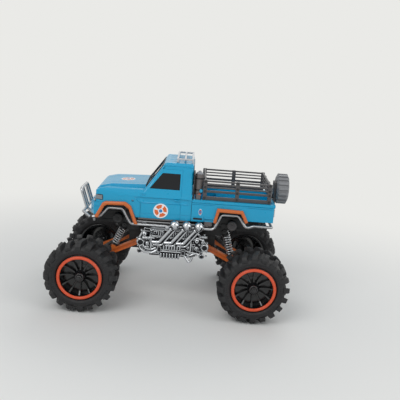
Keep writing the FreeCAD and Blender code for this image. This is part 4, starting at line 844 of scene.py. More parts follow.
def add_wheels():
    """The three parts of each wheel, turned to face outwards on both sides."""
    parts = (
        ("tyre", tyre_mesh(), tyre_pvc, "black_rubber"), ("rim", rim_mesh(), gloss_black, "black_gloss"),
        ("bead_ring", ring_mesh(), red_orange_abs, "orange_plastic"),
    )
    for corner, side in CORNER_SIDES.items():
        low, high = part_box("tyre_" + corner)
        centre = (low + high) / 2 / MM
        for name, mesh, material, slot in parts:
            node = "%s_%s" % (name, corner)
            copy = placed(mesh.copy(), centre, facing_side(side))
            piece(node + "_fine", copy, material, "wheel_" + corner, slot, node)


add_wheels()


# Springs
SPRING_TURNS = 7.5
SPRING_RADIUS = 4.6
SPRING_WIRE = 0.7
# Distance of the coil's ends from the shock's foot and top
SPRING_SEAT = 5.2


def shock_ends():
    """The foot and the top of each of the four shocks, in mm."""
    for end, (foot, top) in ((1, SHOCK_FRONT), (-1, SHOCK_REAR)):
        for side in (1, -1):
            y = side * SHOCK_Y
            yield Vector((end * foot[0], y, foot[1])), Vector((end * top[0], y, top[1]))


def add_springs():
    """A coil of wire round each damper."""
    coils = []
    for foot, top in shock_ends():
        way = top - foot
        height = way.length - 2 * SPRING_SEAT
        coil = grown(
            wound_wire, bpy.data.meshes.new("none"), Turns=SPRING_TURNS, Radius=SPRING_RADIUS * MM,
            Height=height * MM, Wire=SPRING_WIRE * MM, Material=spring_wire,
        )
        turn = way.to_track_quat("Z", "Y").to_matrix().to_4x4()
        coils.append(placed(coil, foot + way.normalized() * SPRING_SEAT, turn))
    piece("coil_springs", joined("coils", coils), spring_wire, "chassis", "spring_steel", "shock_springs")


add_springs()


# Tubes, their brackets and the skid plate in front
RAIL_BRACKET_X = 38
RAIL_BRACKET_HALF = 3
RAIL_BRACKET_INNER = 21.5
RAIL_BRACKET_Z = (110.4, 114.0)
BAR_BRACE_SHARE = 0.9
SKID_FACE = 111.0
# Low and high corners of the plate and of the ledge on it
SKID_BLOCKS = (
    ((108.0, -24.0, 106.0), (SKID_FACE, 24.0, 118.0)), ((108.0, -24.0, 115.0), (112.0, 24.0, 119.9)),
)
SKID_SLOT_Y = (-14.0, 0.0, 14.0)
SKID_SLOT_HALF = 4.6
SKID_SLOT_X = (SKID_FACE - 0.6, SKID_FACE + 0.35)
SKID_SLOT_Z = (108.2, 111.0)
SKID_SCREW_Y = (-21.6, -7.0, 7.0, 21.6)
SKID_SCREW_Z = (108.0, 113.0)


def add_rails():
    """The tube along each sill and through both arches, the straight one above it, and the one behind."""
    parts = []
    upper_y, upper_z, reach = UPPER_RAIL
    bracket_low, bracket_high = RAIL_BRACKET_Z
    for side in (1, -1):
        parts.append(tube([(x, side * RAIL_Y, z) for x, z in RAIL_LINE], RAIL_RADIUS, RAIL_BEND))
        parts.append(tube([(reach, side * upper_y, upper_z), (-reach, side * upper_y, upper_z)], RAIL_RADIUS))
        for x in (RAIL_BRACKET_X, -RAIL_BRACKET_X):
            low = (x - RAIL_BRACKET_HALF, RAIL_BRACKET_INNER, bracket_low)
            high = (x + RAIL_BRACKET_HALF, RAIL_Y, bracket_high)
            parts.append(side_block(side, low, high, width=0.5))
    end_x, end_z = RAIL_LINE[-1]
    parts.append(tube([(end_x, -RAIL_Y, end_z), (end_x, RAIL_Y, end_z)], RAIL_RADIUS))
    piece("side_rails_fine", joined("rails", parts), silver_film, "chassis", "silver_plating", "side_rails")


def bar_point(spot, y):
    """A point of the bull bar from its X and Z, at a Y."""
    return (spot[0], y, spot[1])


def add_bull_bar():
    """The bent hoop, its cross tube and braces, and the skid plate with slots and screws."""
    half = [bar_point(spot, BAR_Y) for spot in (BAR_FOOT, BAR_LOW, BAR_TOP)]
    hoop = half + sided(-1, half)[::-1]
    parts = [tube(hoop, BAR_RADIUS, BAR_BEND)]
    parts.append(tube([bar_point(BAR_LOW, -RAIL_Y), bar_point(BAR_LOW, RAIL_Y)], BAR_RADIUS))
    for side in (1, -1):
        brace = [bar_point(BAR_LOW, side * BAR_INNER_Y), bar_point(BAR_TOP, side * BAR_INNER_Y)]
        parts.append(tube(brace, BAR_RADIUS * BAR_BRACE_SHARE))
        stay = [bar_point(BAR_FOOT, side * RAIL_Y), bar_point(BAR_LOW, side * RAIL_Y)]
        parts.append(tube(stay, BAR_RADIUS))
    parts += [block(low, high, width=0.5) for low, high in SKID_BLOCKS]
    piece("bull_bar_fine", joined("bull_bar", parts), silver_film, "chassis", "silver_plating", "bull_bar")
    slots = []
    for y in SKID_SLOT_Y:
        low = (SKID_SLOT_X[0], y - SKID_SLOT_HALF, SKID_SLOT_Z[0])
        high = (SKID_SLOT_X[1], y + SKID_SLOT_HALF, SKID_SLOT_Z[1])
        slots.append(block(low, high))
    piece("skid_plate_slots", joined("slots", slots), black_abs, "chassis", "black_plastic")
    places = [(SKID_FACE, y, z) for y in SKID_SCREW_Y for z in SKID_SCREW_Z]
    screw = hex_head(across=1.8, height=0.9, washer=2.5)
    heads = studded(places, [FORWARD] * len(places), screw, screw_zinc)
    piece("skid_plate_screws", heads, screw_zinc, "chassis", "spring_steel")


add_rails()
add_bull_bar()


# Engine relief: bright parts, and dark parts of painted shade in the pockets behind them, made for the left
# side and mirrored
ENGINE_LOW = (-52.7, 71.0)
ENGINE_SIZE = (99.7, 38.0)
ENGINE_BACK = 43.0
# The plate's face, on which everything else stands
ENGINE_FACE = 46.0
ENGINE_OUTLINE_SHARES = (
    (0.02, 0.45), (0.10, 0.78), (0.22, 1.0), (0.80, 1.0), (0.93, 0.84),
    (1.0, 0.45), (0.90, 0.12), (0.76, 0.0), (0.26, 0.0), (0.08, 0.14),
)
FIELD_SHARES = (0.955, 0.9)
# Low and high corners and edge of the dark blocks of painted shade behind the headers and the cover
ENGINE_SHADE_BLOCKS = (
    ((-27.0, ENGINE_FACE, 80.5), (26.0, 50.6, 97.0), 0.6),
    ((-29.0, ENGINE_FACE, 98.0), (9.0, 50.6, 106.5), 0.8),
    ((9.4, ENGINE_FACE, 98.2), (28.5, 50.4, 107.0), 0.6),
)
# The cover's two flanges, the block's ledges and its two uprights
ENGINE_BRIGHT_BLOCKS = (
    ((9.0, ENGINE_FACE, 98.1), (29.0, 52.0, 99.5), 0.6),
    ((9.0, ENGINE_FACE, 105.9), (29.0, 52.0, 107.3), 0.6),
    ((-29.5, ENGINE_FACE, 96.6), (27.0, 51.4, 98.0), 0.4),
    ((-28.5, ENGINE_FACE, 79.0), (27.0, 51.8, 80.6), 0.4),
    ((-28.9, ENGINE_FACE, 80.0), (-27.1, 51.8, 98.0), 0.4),
    ((25.7, ENGINE_FACE, 80.0), (27.5, 51.8, 98.0), 0.4),
)
# Fins: low and high corners, edge, its segments, X of the first, count and pitch
COVER_FINS = ((-0.8, 49.6, 99.4), (0.8, 52.6, 105.8), 0.75, 3, 11.0, 3, 3.0)
FOOT_FINS = ((-1.25, 50.2, 80.9), (1.25, 54.4, 86.4), 1.1, 4, -13.4, 7, 3.7)
SUMP_FINS = ((-1.3, 49.2, 67.5), (1.3, 54.0, 75.2), 1.2, 4, -12.0, 7, 4.0)
COVER_RIBS = ((-0.55, 50.2, 99.2), (0.55, 51.8, 105.6), 0.35, 2, -26.0, 14, 2.5)
# X, Z and radius of the two caps on the cover
COVER_CAPS = ((21.4, 103.6, 2.5), (26.6, 101.6, 1.9))
COVER_CAP_Y = 51.0
COVER_PIPE = ((8.6, 50.8, 107.4), (-29.0, 50.8, 107.4))
COVER_PIPE_RADIUS = 1.1
SUMP_OUTLINE = ((-15.5, 79), (15.5, 79), (17.2, 74), (12.6, 67.6), (-12.6, 67.6), (-17.2, 74))
SUMP_MIDDLE_Z = 73.4
SUMP_FIELD_SHARES = (0.9, 0.86)
SUMP_LEDGE = ((-15.0, 48.0, 76.2), (14.0, 52.2, 78.4))


def fins(low, high, edge, segments, first_x, count, pitch):
    """A row of rounded chrome fins along X."""
    fin = placed(block(low, high, edge, segments), (first_x, 0, 0))
    return grown(row_of_copies, fin, Count=count, Step=(pitch * MM, 0, 0), Material=chrome_film)


def shrunk(outline, middle, shares):
    """An outline of X and Z points drawn in towards a middle."""
    return [
        (middle[0] + (x - middle[0]) * shares[0], middle[1] + (z - middle[1]) * shares[1]) for x, z in outline
    ]


def engine_base():
    """The plate with its dark field of painted shade, the block behind the headers with its dark painted
    shade, and the cover with its fins and caps.
    """
    (low_x, low_z), (length, height) = ENGINE_LOW, ENGINE_SIZE
    outline = [(low_x + a * length, low_z + b * height) for a, b in ENGINE_OUTLINE_SHARES]
    field = shrunk(outline, (low_x + length / 2, low_z + height / 2), FIELD_SHARES)
    bright = [plate(outline, ENGINE_BACK, ENGINE_FACE, width=0.8)]
    # The dark field and the dark blocks are painted shade behind the relief
    dark = [plate(field, ENGINE_FACE - 1.0, ENGINE_FACE + 0.2, width=0.2, segments=1)]
    dark += [block(low, high, edge) for low, high, edge in ENGINE_SHADE_BLOCKS]
    bright += [block(low, high, edge) for low, high, edge in ENGINE_BRIGHT_BLOCKS]
    bright.append(fins(*COVER_FINS))
    for x, z, radius in COVER_CAPS:
        section = (
            (radius * 0.5, -2.0), (radius, -2.0), (radius, 2.0), (radius * 0.7, 2.8), (radius * 0.5, 1.4),
        )
        bright.append(placed(lathe(section, bend=0.35, arc_steps=3, steps=36), (x, COVER_CAP_Y, z)))
    bright.append(tube(COVER_PIPE, COVER_PIPE_RADIUS, sides=14))
    return bright, dark


def fin_rows():
    """Two rows of upright rounded fins under the headers, on the block's foot and on the sump."""
    field = shrunk(SUMP_OUTLINE, (0, SUMP_MIDDLE_Z), SUMP_FIELD_SHARES)
    bright = [plate(SUMP_OUTLINE, ENGINE_FACE, ENGINE_FACE + 3.6, width=1.0)]
    # The sump's dark field is painted shade
    dark = [plate(field, ENGINE_FACE + 3.0, ENGINE_FACE + 3.9, width=0.1, segments=1)]
    bright += [fins(*FOOT_FINS), fins(*SUMP_FINS), block(*SUMP_LEDGE, width=0.7)]
    return bright, dark


# Headers: points from a foot at X, HEADER_Y and Z 0
HEADER_COUNT = 3
HEADER_FIRST_X = 22.0
HEADER_PITCH = 16.5
HEADER_Y = 54.2
HEADER_TIP = (-26.4, 0.8, 116.0)
WIDE_PIPE = ((4.6, 0.0, 90.6), (-6.2, 0.0, 90.4), (-23.8, 0.2, 112.8))
WIDE_PIPE_RADIUS = 2.25
SLIM_PIPE = ((2.0, -1.2, 86.6), (-9.8, -1.2, 86.2), (-28.2, -1.0, 110.6))
SLIM_PIPE_RADIUS = 1.45
PIPE_BEND = 5.0
PIPE_LEAN = (-20.8, 0, 25.3)
LOW_COLLAR_SPOT = (-3.0, 0.0, 90.4)
# The ball at the tip, with two rows of dark discs that paint the shade of holes: the latitude and the first
# angle of each
BALL_SCALE = 1.12
BALL_SECTION = (
    (0.05, -5.8), (2.2, -5.6), (4.3, -4.3), (5.7, -2.1), (6.1, 0.2), (5.6, 2.7), (4.1, 4.5), (3.2, 5.0),
    (2.8, 3.9), (0.05, 3.6),
)
COLLAR_SECTION = ((1.6, -8.4), (3.4, -8.4), (3.4, -6.4), (1.6, -6.4))
LOW_COLLAR_SECTION = ((1.6, -1.0), (3.0, -1.0), (3.0, 1.0), (1.6, 1.0))
HOLE_SECTION = ((0.02, 0.55), (0.62, 0.4), (0.85, -0.4), (0.02, -0.4))
MOUTH_SECTION = ((0.02, 4.2), (2.9, 4.1), (2.9, 2.6), (0.02, 2.6))
HOLE_ROWS = ((-0.5, 0.0), (0.35, 0.4))
HOLE_COUNT = 8
HOLE_RADIUS = 5.85
# Angles at which a half ball's rings lie
HALF_BALL = (0.05, 0.45, 0.9, 1.3)


def rounded_pipe(points, radius, sides=20):
    """A bent tube whose first end is a half ball."""
    line = rounded_line(points, PIPE_BEND)
    way = (line[1] - line[0]).normalized()
    head = [line[0] + way * radius * (1 - math.cos(a)) for a in HALF_BALL]
    radii = [radius * math.sin(a) for a in HALF_BALL] + [radius] * (len(line) - 1)
    return tube(head + line[1:], radii, sides=sides)


def header_meshes():
    """Three raked headers, each a wide pipe with a slim one behind it, and a ball tip with dark discs of
    painted shade all round for its holes and its mouth.
    """
    turn = Vector(PIPE_LEAN).normalized().to_track_quat("Y", "Z").to_matrix().to_4x4()
    swollen = turn @ Matrix.Scale(BALL_SCALE, 4)
    bright, dark = [], []
    for index in range(HEADER_COUNT):
        foot = Vector((HEADER_FIRST_X - index * HEADER_PITCH, HEADER_Y, 0))
        tip = foot + Vector(HEADER_TIP)
        bright.append(rounded_pipe([foot + Vector(p) for p in WIDE_PIPE], WIDE_PIPE_RADIUS))
        bright.append(rounded_pipe([foot + Vector(p) for p in SLIM_PIPE], SLIM_PIPE_RADIUS, sides=16))
        bright.append(placed(lathe(BALL_SECTION, bend=0.9, arc_steps=3, steps=48), tip, swollen))
        bright.append(placed(lathe(COLLAR_SECTION, bend=0.5, arc_steps=2, steps=36), tip, turn))
        low_collar = lathe(LOW_COLLAR_SECTION, bend=0.4, arc_steps=2, steps=36)
        bright.append(placed(low_collar, foot + Vector(LOW_COLLAR_SPOT), Y_TO_BACK))
        # Dark discs are painted shade for the holes in the ball and for its mouth
        for latitude, first in HOLE_ROWS:
            spot = Vector((0, math.sin(latitude), math.cos(latitude))) * HOLE_RADIUS
            outwards = Matrix.Rotation(math.pi / 2 - latitude, 4, "X")
            hole = placed(turned(HOLE_SECTION, steps=14), spot, outwards)
            dark.append(placed(ring_of(hole, HOLE_COUNT, painted_shade_chrome, first), tip, swollen))
        dark.append(placed(turned(MOUTH_SECTION, steps=28), tip, swollen))
    return bright, dark


# Accessories. Round ports and eyes: X, Y, Z, radius and radius of the hole
PORTS = (
    (41.2, 48.6, 87.6, 5.7, 3.3), (-47.0, 48.6, 85.5, 5.7, 3.3),
    (42.0, 47.6, 75.0, 3.5, 1.7), (-43.8, 47.6, 72.4, 4.0, 2.1),
)
# Square pockets: low and high X, low and high Z, and Y of the rim
POCKETS = (
    (27.2, 37.0, 103.6, 107.6, 48.6), (12.6, 17.4, 76.4, 83.6, 53.0), (-20.6, -15.6, 74.0, 82.4, 53.0),
    (-33.6, -29.6, 87.0, 90.4, 52.0), (-41.6, -36.4, 77.0, 80.4, 49.0),
)
POCKET_RIM = 0.9
# Hoses: points, radius, bend and sides
HOSES = (
    (((42.6, 50.4, 84.0), (41.6, 50.8, 79.0), (34.8, 51.2, 74.4), (25.0, 51.2, 74.2), (17.0, 50.6, 78.4)),
     1.45, 5.0, 18),
    (((37.6, 50.2, 84.4), (34.0, 51.0, 79.6), (26.0, 51.2, 78.4), (19.4, 50.4, 82.0)), 1.15, 4.0, 16),
    (((-22.0, 50.6, 76.0), (-28.0, 51.2, 73.6), (-35.0, 51.0, 77.6), (-40.6, 50.0, 75.0)), 1.3, 4.0, 16),
    (((-31.0, 50.5, 96.0), (-36.6, 51.2, 99.2), (-44.0, 50.6, 96.4), (-48.4, 49.2, 91.6)), 1.2, 4.0, 16),
    (((-20.0, 50.2, 72.6), (-26.6, 50.8, 63.6), (-29.4, 50.8, 66.4), (-31.6, 50.2, 72.2)), 1.5, 2.6, 16),
    (((33.0, 50.0, 92.0), (30.0, 51.4, 96.0), (22.0, 51.6, 95.0)), 1.1, 3.0, 14),
)
# Cans that stand on the plate: X, Z, radius and height
CANS = (
    (-36.0, 94.6, 3.4, 6.4), (36.4, 99.4, 3.2, 5.6), (-25.0, 71.6, 2.6, 5.4), (31.6, 86.2, 3.0, 6.2),
    (24.6, 84.2, 2.4, 6.8), (-44.4, 92.6, 2.6, 4.6), (-24.2, 84.6, 2.6, 6.6), (-35.4, 83.6, 2.9, 5.4),
    (21.0, 74.6, 2.0, 5.0),
)
CAN_FOOT = ENGINE_FACE - 0.2
# Ribbed bodies along X: start, end, Y, Z, radius and ribs
BARRELS = (
    (28.0, 39.0, 49.2, 94.2, 2.9, 5), (-49.6, -38.4, 48.6, 100.4, 2.3, 5), (29.5, 37.5, 49.4, 81.4, 2.2, 4),
    (-33.6, -24.4, 50.2, 77.6, 2.3, 4),
)
BARREL_GROOVE = 0.7
# Brackets and straps: low and high corners, edge and its segments
BRACKETS = (
    ((3.0, 46.5, 108.6), (8.6, 50.2, 113.6), 0.9, 3), ((-43.0, 46.0, 97.4), (-31.0, 49.6, 99.4), 0.5, 2),
    ((19.0, 50.0, 87.4), (25.6, 53.4, 89.0), 0.5, 2),
)
STRAP_X = (29.0, 39.6, -31.4, -50.6)
STRAP_HALF = 0.7
STRAP_Z = (78.0, 93.0)
# Bolts that stand alone on the plate: X, Y and Z
LONE_BOLTS = (
    (46.0, 46.2, 92.6), (44.6, 46.2, 82.0), (-50.2, 46.2, 92.0), (-50.6, 46.2, 80.0), (-46.0, 46.2, 103.0),
    (40.6, 46.2, 104.0), (33.6, 46.2, 73.6), (-31.6, 46.2, 106.6), (35.6, 46.4, 88.2), (38.2, 46.4, 80.0),
    (-40.0, 46.4, 88.6), (-38.6, 46.4, 83.2),
)
# Rows of bolts: first place, pitch along X and count
BOLT_ROWS = (((-27.0, 51.6, 79.8), 9.0, 7), ((-26.5, 51.2, 97.3), 9.0, 7), ((12.0, 52.2, 106.2), 7.4, 3))
LOW_BOLT_SPOT = (-50.0, 48.0, 73.6)
LOW_BOLT_PITCH = 7.0
LOW_BOLT_STEP = 1.6


def ported(x, y, z, radius, hole):
    """A round port: a stepped bright ring with a dark centre of painted shade."""
    section = (
        (hole, -2.5), (radius, -2.5), (radius, 0.4), (radius - 0.9, 0.9), (radius - 0.4, 1.7),
        (radius - 1.0, 2.6), (hole + 0.5, 2.6), (hole, 1.6),
    )
    centre = turned([(0.02, 1.1), (hole + 0.2, 0.9), (hole + 0.2, -1.0), (0.02, -1.0)], steps=36)
    return placed(lathe(section, bend=0.4, arc_steps=2, steps=52), (x, y, z)), placed(centre, (x, y, z))


def framed_pocket(low_x, high_x, low_z, high_z, y):
    """A square pocket in a bright rim, with a dark floor of painted shade."""
    half = POCKET_RIM / 2
    back, front = y - 3.0, y + 0.4
    dark = block((low_x, y - 2.0, low_z), (high_x, y - 0.5, high_z), width=0.1, segments=1)
    bright = []
    for x in (low_x, high_x):
        bright.append(block((x - half, back, low_z - half), (x + half, front, high_z + half), width=0.3))
    for z in (low_z, high_z):
        bright.append(block((low_x - half, back, z - half), (high_x + half, front, z + half), width=0.3))
    return bright, dark


def barrel(length, radius, ribs):
    """A ribbed round body along Y."""
    waist = radius - BARREL_GROOVE
    section = [(0.05, 0.0), (radius, 0.0)]
    for k in range(ribs):
        low = length * (k + 0.25) / ribs
        high = length * (k + 0.75) / ribs
        section += [(radius, low), (waist, low + 0.15), (waist, high), (radius, high + 0.15)]
    section += [(radius, length), (0.05, length)]
    return turned(section, steps=36)


def can_meshes(x, z, radius, height):
    """A stepped can and the dark eye of painted shade in its top."""
    waist = radius * 0.82
    section = (
        (0.1, 0.0), (radius, 0.0), (radius, height * 0.62), (waist, height * 0.68), (waist, height * 0.92),
        (radius * 0.6, height), (0.1, height),
    )
    eye = turned([
        (0.02, height + 0.25), (radius * 0.3, height + 0.2), (radius * 0.34, height - 0.4),
        (0.02, height - 0.4),
    ], steps=20)
    can = lathe(section, bend=0.35, arc_steps=3, steps=36)
    return placed(can, (x, CAN_FOOT, z)), placed(eye, (x, CAN_FOOT, z))


def accessory_meshes():
    """Ports, pockets, hoses, cans, straps and bolts round the block."""
    bright, dark = [], []
    for port in PORTS:
        rim, centre = ported(*port)
        bright.append(rim)
        dark.append(centre)
    for pocket in POCKETS:
        rim, hollow = framed_pocket(*pocket)
        bright += rim
        dark.append(hollow)
    for points, radius, bend, sides in HOSES:
        bright.append(tube(points, radius, bend, sides))
    for can in CANS:
        body, eye = can_meshes(*can)
        bright.append(body)
        dark.append(eye)
    for start, end, y, z, radius, ribs in BARRELS:
        bright.append(placed(barrel(end - start, radius, ribs), (start, y, z), Y_TO_X))
    bright += [block(low, high, edge, segments) for low, high, edge, segments in BRACKETS]
    for x in STRAP_X:
        low, high = (x - STRAP_HALF, ENGINE_FACE, STRAP_Z[0]), (x + STRAP_HALF, 48.6, STRAP_Z[1])
        bright.append(block(low, high))
    bright.append(fins(*COVER_RIBS))
    x, y, z = LOW_BOLT_SPOT
    places = [(x + LOW_BOLT_PITCH * k, y, z + LOW_BOLT_STEP * (k % 2)) for k in range(4)]
    for (x, y, z), pitch, count in BOLT_ROWS:
        places += [(x + pitch * k, y, z) for k in range(count)]
    places += LONE_BOLTS
    bolt = hex_head(across=2.0, height=1.4, washer=2.9)
    bright.append(studded(places, [LEFTWARD] * len(places), bolt, chrome_film))
    return bright, dark


def add_engine():
    """The left relief from all its parts, and its mirror on the right."""
    bright, dark = [], []
    for lit, shaded in (engine_base(), fin_rows(), header_meshes(), accessory_meshes()):
        bright += lit
        dark += shaded
    left, pockets = joined("engine", bright), joined("pockets", dark)
    piece("engine_left_fine", left, chrome_film, "chassis", "chrome_plating", "engine_left")
    piece("engine_right_fine", mirrored(left), chrome_film, "chassis", "chrome_plating", "engine_right")
    # The dark parts are painted shade in the relief's pockets, holes and fields
    piece("engine_left_pockets", pockets, painted_shade_chrome, "chassis", "chrome_plating")
    piece("engine_right_pockets", mirrored(pockets), painted_shade_chrome, "chassis", "chrome_plating")


add_engine()


# Panels and rigid parts that keep the frame's shape, with softened edges: material, bevel in mm and slot
SOFTENED = [
    ("front_flares", orange_abs, 0.9, "orange_plastic"), ("rear_flares", orange_abs, 0.9, "orange_plastic"),
    ("grille", black_abs, 0.25, "black_plastic"), ("tail_lamps", red_lens, 0.25, "lamp_red"),
    ("side_tanks", warm_abs, 0.8, "silver_plating"), ("roof_rack", silver_abs, 0.5, "silver_plating"),
    ("spare_carrier", grey_abs, 0.5, "grey_plastic"), ("spare_tyre", spare_pvc, 0.5, "grey_rubber"),
    ("mist_tank", warm_abs, 0.4, "grey_plastic"), ("chassis_tray", black_abs, 0.4, "black_plastic"),
    ("battery_cover", black_abs, 0.5, "black_plastic"), ("battery_pack", shrink_wrap, 1.5, "battery_wrap"),
    ("chassis_frame", black_abs, 0.4, "black_plastic"), ("cab_floor", warm_abs, 0.3, "black_plastic"),
    ("front_axle_housing", black_abs, 0.3, "black_plastic"),
    ("rear_axle_housing", black_abs, 0.3, "black_plastic"),
    ("shock_towers", black_abs, 0.3, "black_plastic"), ("link_arms", orange_abs, 0.4, "orange_plastic"),
    ("shock_bodies", black_abs, 0.2, "black_plastic"), ("drive_shafts", black_abs, 0.2, "black_plastic"),
    ("knuckle_fl", black_abs, 0.25, "black_plastic"), ("knuckle_fr", black_abs, 0.25, "black_plastic"),
    ("tie_rod", black_abs, 0.25, "black_plastic"), ("side_windows", glazing, 0.15, "black_glazing"),
    ("windscreen", glazing, 0.15, "black_glazing"), ("rear_window", glazing, 0.15, "black_glazing"),
]


def body_of(node):
    """The name of the body that carries a CAD node."""
    return next(name for name, empty in frame["bodies"].items() if frame["nodes"][node].parent is empty)


for node_name, finish, edge_width, slot_name in SOFTENED:
    copy = softened(merged_copy(node_name), edge_width, segments=3)
    piece(node_name + "_fine", copy, finish, body_of(node_name), slot_name, node_name)


# Body panels: the frame's shells with their shut lines, creases, recesses and vents
CAB_SIDE = ((121.0, 50.4), (127.0, 52.0), (152.0, 52.0), (157.0, 50.8), (199.0, 43.0))
BED_SIDE = ((121.0, 50.4), (127.0, 52.0), (153.0, 52.0))
# The recess below the belt: X and Z of its floor and of its mouth, and their Y
RECESS_FLOOR = (
    (51.6, 150.6), (44.2, 145.6), (41.0, 144.8), (-20.8, 145.9), (-20.8, 150.9), (36.0, 150.6), (48.0, 150.8),
)
RECESS_MOUTH = (
    (53.6, 150.9), (45.4, 144.5), (41.3, 143.5), (-22.0, 144.7), (-22.0, 151.8), (36.0, 151.5), (48.0, 151.6),
)
RECESS_FLOOR_Y = 50.55
RECESS_MOUTH_Y = 52.2
CLEAR_Y = 54.0
# Grooves of the cab's side: X and Z points, width and depth
CAB_SEAMS = (
    (((51.6, 149.6), (45.6, 144.0), (41.3, 143.2), (-21.6, 144.4)), 0.8, 0.7),
    (((43.8, 121.5), (43.8, 156.8)), 0.55, 0.6),
    (((-10.5, 121.5), (-10.5, 190.5), (17.0, 190.5), (36.2, 163.4)), 0.5, 0.5),
    (((42.6, 128.8), (-24.0, 130.2)), 0.6, 0.5),
)
LOUVRE_X = (41.6, 39.7, 37.8)
LOUVRE_Z = (153.4, 156.2)
# Grooves of the bonnet and the roof: points, width and depth
CAB_CHANNELS = (
    (((42.0, 39.7, 161.7), (86.0, 39.7, 161.7), (99.6, 39.7, 158.5)), 0.7, 0.9),
    (((98.0, 22.0, 161.2), (86.0, 22.0, 163.9), (42.0, 27.0, 165.8)), 0.8, 0.5),
    (((-19.0, 12.0, 199.0), (9.0, 12.0, 199.0)), 1.6, 0.5),
    (((-19.0, 27.0, 199.0), (9.0, 27.0, 199.0)), 1.6, 0.5),
)
# Grooves round the bumper's corner: X and Y, the way each point faces, and the heights
BUMPER_CORNER = ((98.4, 51.2), (107.0, 48.0), (112.0, 38.0))
BUMPER_FACINGS = [(0.34, 0.94, 0), (0.66, 0.75, 0), (0.97, 0.24, 0)]
BUMPER_Z = (133.6, 139.6)
BUMPER_FRONT = ((111.9, 37.6, 133.6), (111.9, 0.0, 133.6))
BUMPER_VENT = ((111.0, 4.0, 135.6), (114.0, 30.0, 139.0))
BED_SEAMS = (
    (((-27.0, 146.4), (-56.5, 146.4)), 0.8, 0.7),
    (((-102.5, 146.4), (-134.0, 146.4)), 0.8, 0.7),
    (((-28.0, 129.6), (-52.0, 129.6)), 0.5, 0.4),
)
# The slot in the bed's side, and the skirt's cut over the side tank
BED_SLOT = ((-40.6, 50.6, 125.2), (-28.4, 54.0, 127.9))
SKIRT_CUT = ((-55.2, 48.9, 120.0), (-43.0, 54.0, 127.6))
TAILGATE_SEAM = ((-137.0, 43.0, 127.0), (-137.0, 43.0, 148.0))
TAILGATE_RIB_Y = (18.0, 24.0, 30.0)
TAILGATE_RIB_X = -136.2
TAILGATE_RIB_Z = (135.0, 144.0)


def both(cutters):
    """The cutters of the left side and their copies on the right."""
    return cutters + [mirrored(cutter) for cutter in cutters]


def cab_cutters():
    """Shut lines of door and bonnet, the pressed band below the belt, creases, louvres and roof channels."""
    floor = [(x, RECESS_FLOOR_Y, z) for x, z in RECESS_FLOOR]
    cutters = [skinned([floor] + [[(x, y, z) for x, z in RECESS_MOUTH] for y in (RECESS_MOUTH_Y, CLEAR_Y)])]
    cutters += [seam(points, CAB_SIDE, width, depth) for points, width, depth in CAB_SEAMS]
    cutters += [trench(points, UP, width, depth) for points, width, depth in CAB_CHANNELS]
    cutters += [seam([(x, z) for z in LOUVRE_Z], CAB_SIDE, width=0.8, depth=0.7) for x in LOUVRE_X]
    for z in BUMPER_Z:
        cutters.append(trench([(x, y, z) for x, y in BUMPER_CORNER], BUMPER_FACINGS, width=1.0, depth=0.7))
    cutters.append(trench(BUMPER_FRONT, FORWARD, width=1.0, depth=0.7))
    cutters.append(block(*BUMPER_VENT, width=0.0))
    return both(cutters)


def bed_cutters():
    """The bed's side crease and slot, the skirt's cut, and the tailgate's shut lines and ribs."""
    cutters = [seam(points, BED_SIDE, width, depth) for points, width, depth in BED_SEAMS]
    cutters += [block(*BED_SLOT, width=0.0), block(*SKIRT_CUT, width=0.0)]
    cutters.append(trench(TAILGATE_SEAM, BACKWARD, width=0.6, depth=0.6))
    for y in TAILGATE_RIB_Y:
        line = [(TAILGATE_RIB_X, y, z) for z in TAILGATE_RIB_Z]
        cutters.append(trench(line, BACKWARD, width=1.2, depth=0.4))
    return both(cutters)


def add_panels():
    """Cab and bed with their grooves and recesses."""
    cab = carved(merged_copy("cab_shell"), width=0.6, cutters=cab_cutters(), segments=3)
    bed = carved(merged_copy("cargo_bed"), width=0.5, cutters=bed_cutters(), segments=2)
    piece("cab_shell_fine", cab, blue_abs, "chassis", "blue_body", "cab_shell")
    piece("cargo_bed_fine", bed, blue_abs, "chassis", "blue_body", "cargo_bed")


add_panels()


# Windscreen and rear window: a point on each, the screen's facing, and their gaskets' outlines in its plane
SCREEN_BASE = (23.2, 0, 185.0)
SCREEN_FACING = (42.0, 0, 29.5)
SCREEN_UP = 11.8
SCREEN_DOWN = 25.6
SCREEN_OUTER = ((43.6, -SCREEN_DOWN), (-43.6, -SCREEN_DOWN), (-38.2, SCREEN_UP), (38.2, SCREEN_UP))
SCREEN_INNER = (
    (40.9, -SCREEN_DOWN + 8.2), (-40.9, -SCREEN_DOWN + 8.2),
    (-35.6, SCREEN_UP - 2.4), (35.6, SCREEN_UP - 2.4),
)
REAR_BASE = (-25.0, 0, 182.0)
REAR_OUTER = ((-31.5, -13.5), (31.5, -13.5), (31.5, 13.5), (-31.5, 13.5))
REAR_INNER = tuple((x * 0.945, y * 0.87) for x, y in REAR_OUTER)
# Wipers in the screen's plane: the second's shift, then points, radius and sides of arm, blade and foot
WIPER_SHIFTS = (0.0, 30.0)
WIPER_PARTS = (
    (((-24.0, -22.6, 1.4), (-17.0, -17.6, 1.9), (-10.0, -13.0, 1.3)), 0.45, 10),
    (((-21.0, -18.4, 0.9), (2.0, -8.6, 0.9)), 0.4, 8),
    (((-24.0, -22.6, 0.2), (-24.0, -22.6, 2.0)), 1.1, 18),
)


def on_plane(base, along, facing):
    """A turn from the XY plane to a plane: X runs along it level, Z faces outwards; its base in mm."""
    facing = Vector(facing).normalized()
    along = Vector(along).normalized()
    turn = Matrix((along, facing.cross(along), facing)).transposed().to_4x4()
    return Matrix.Translation(Vector(base) * MM) @ turn


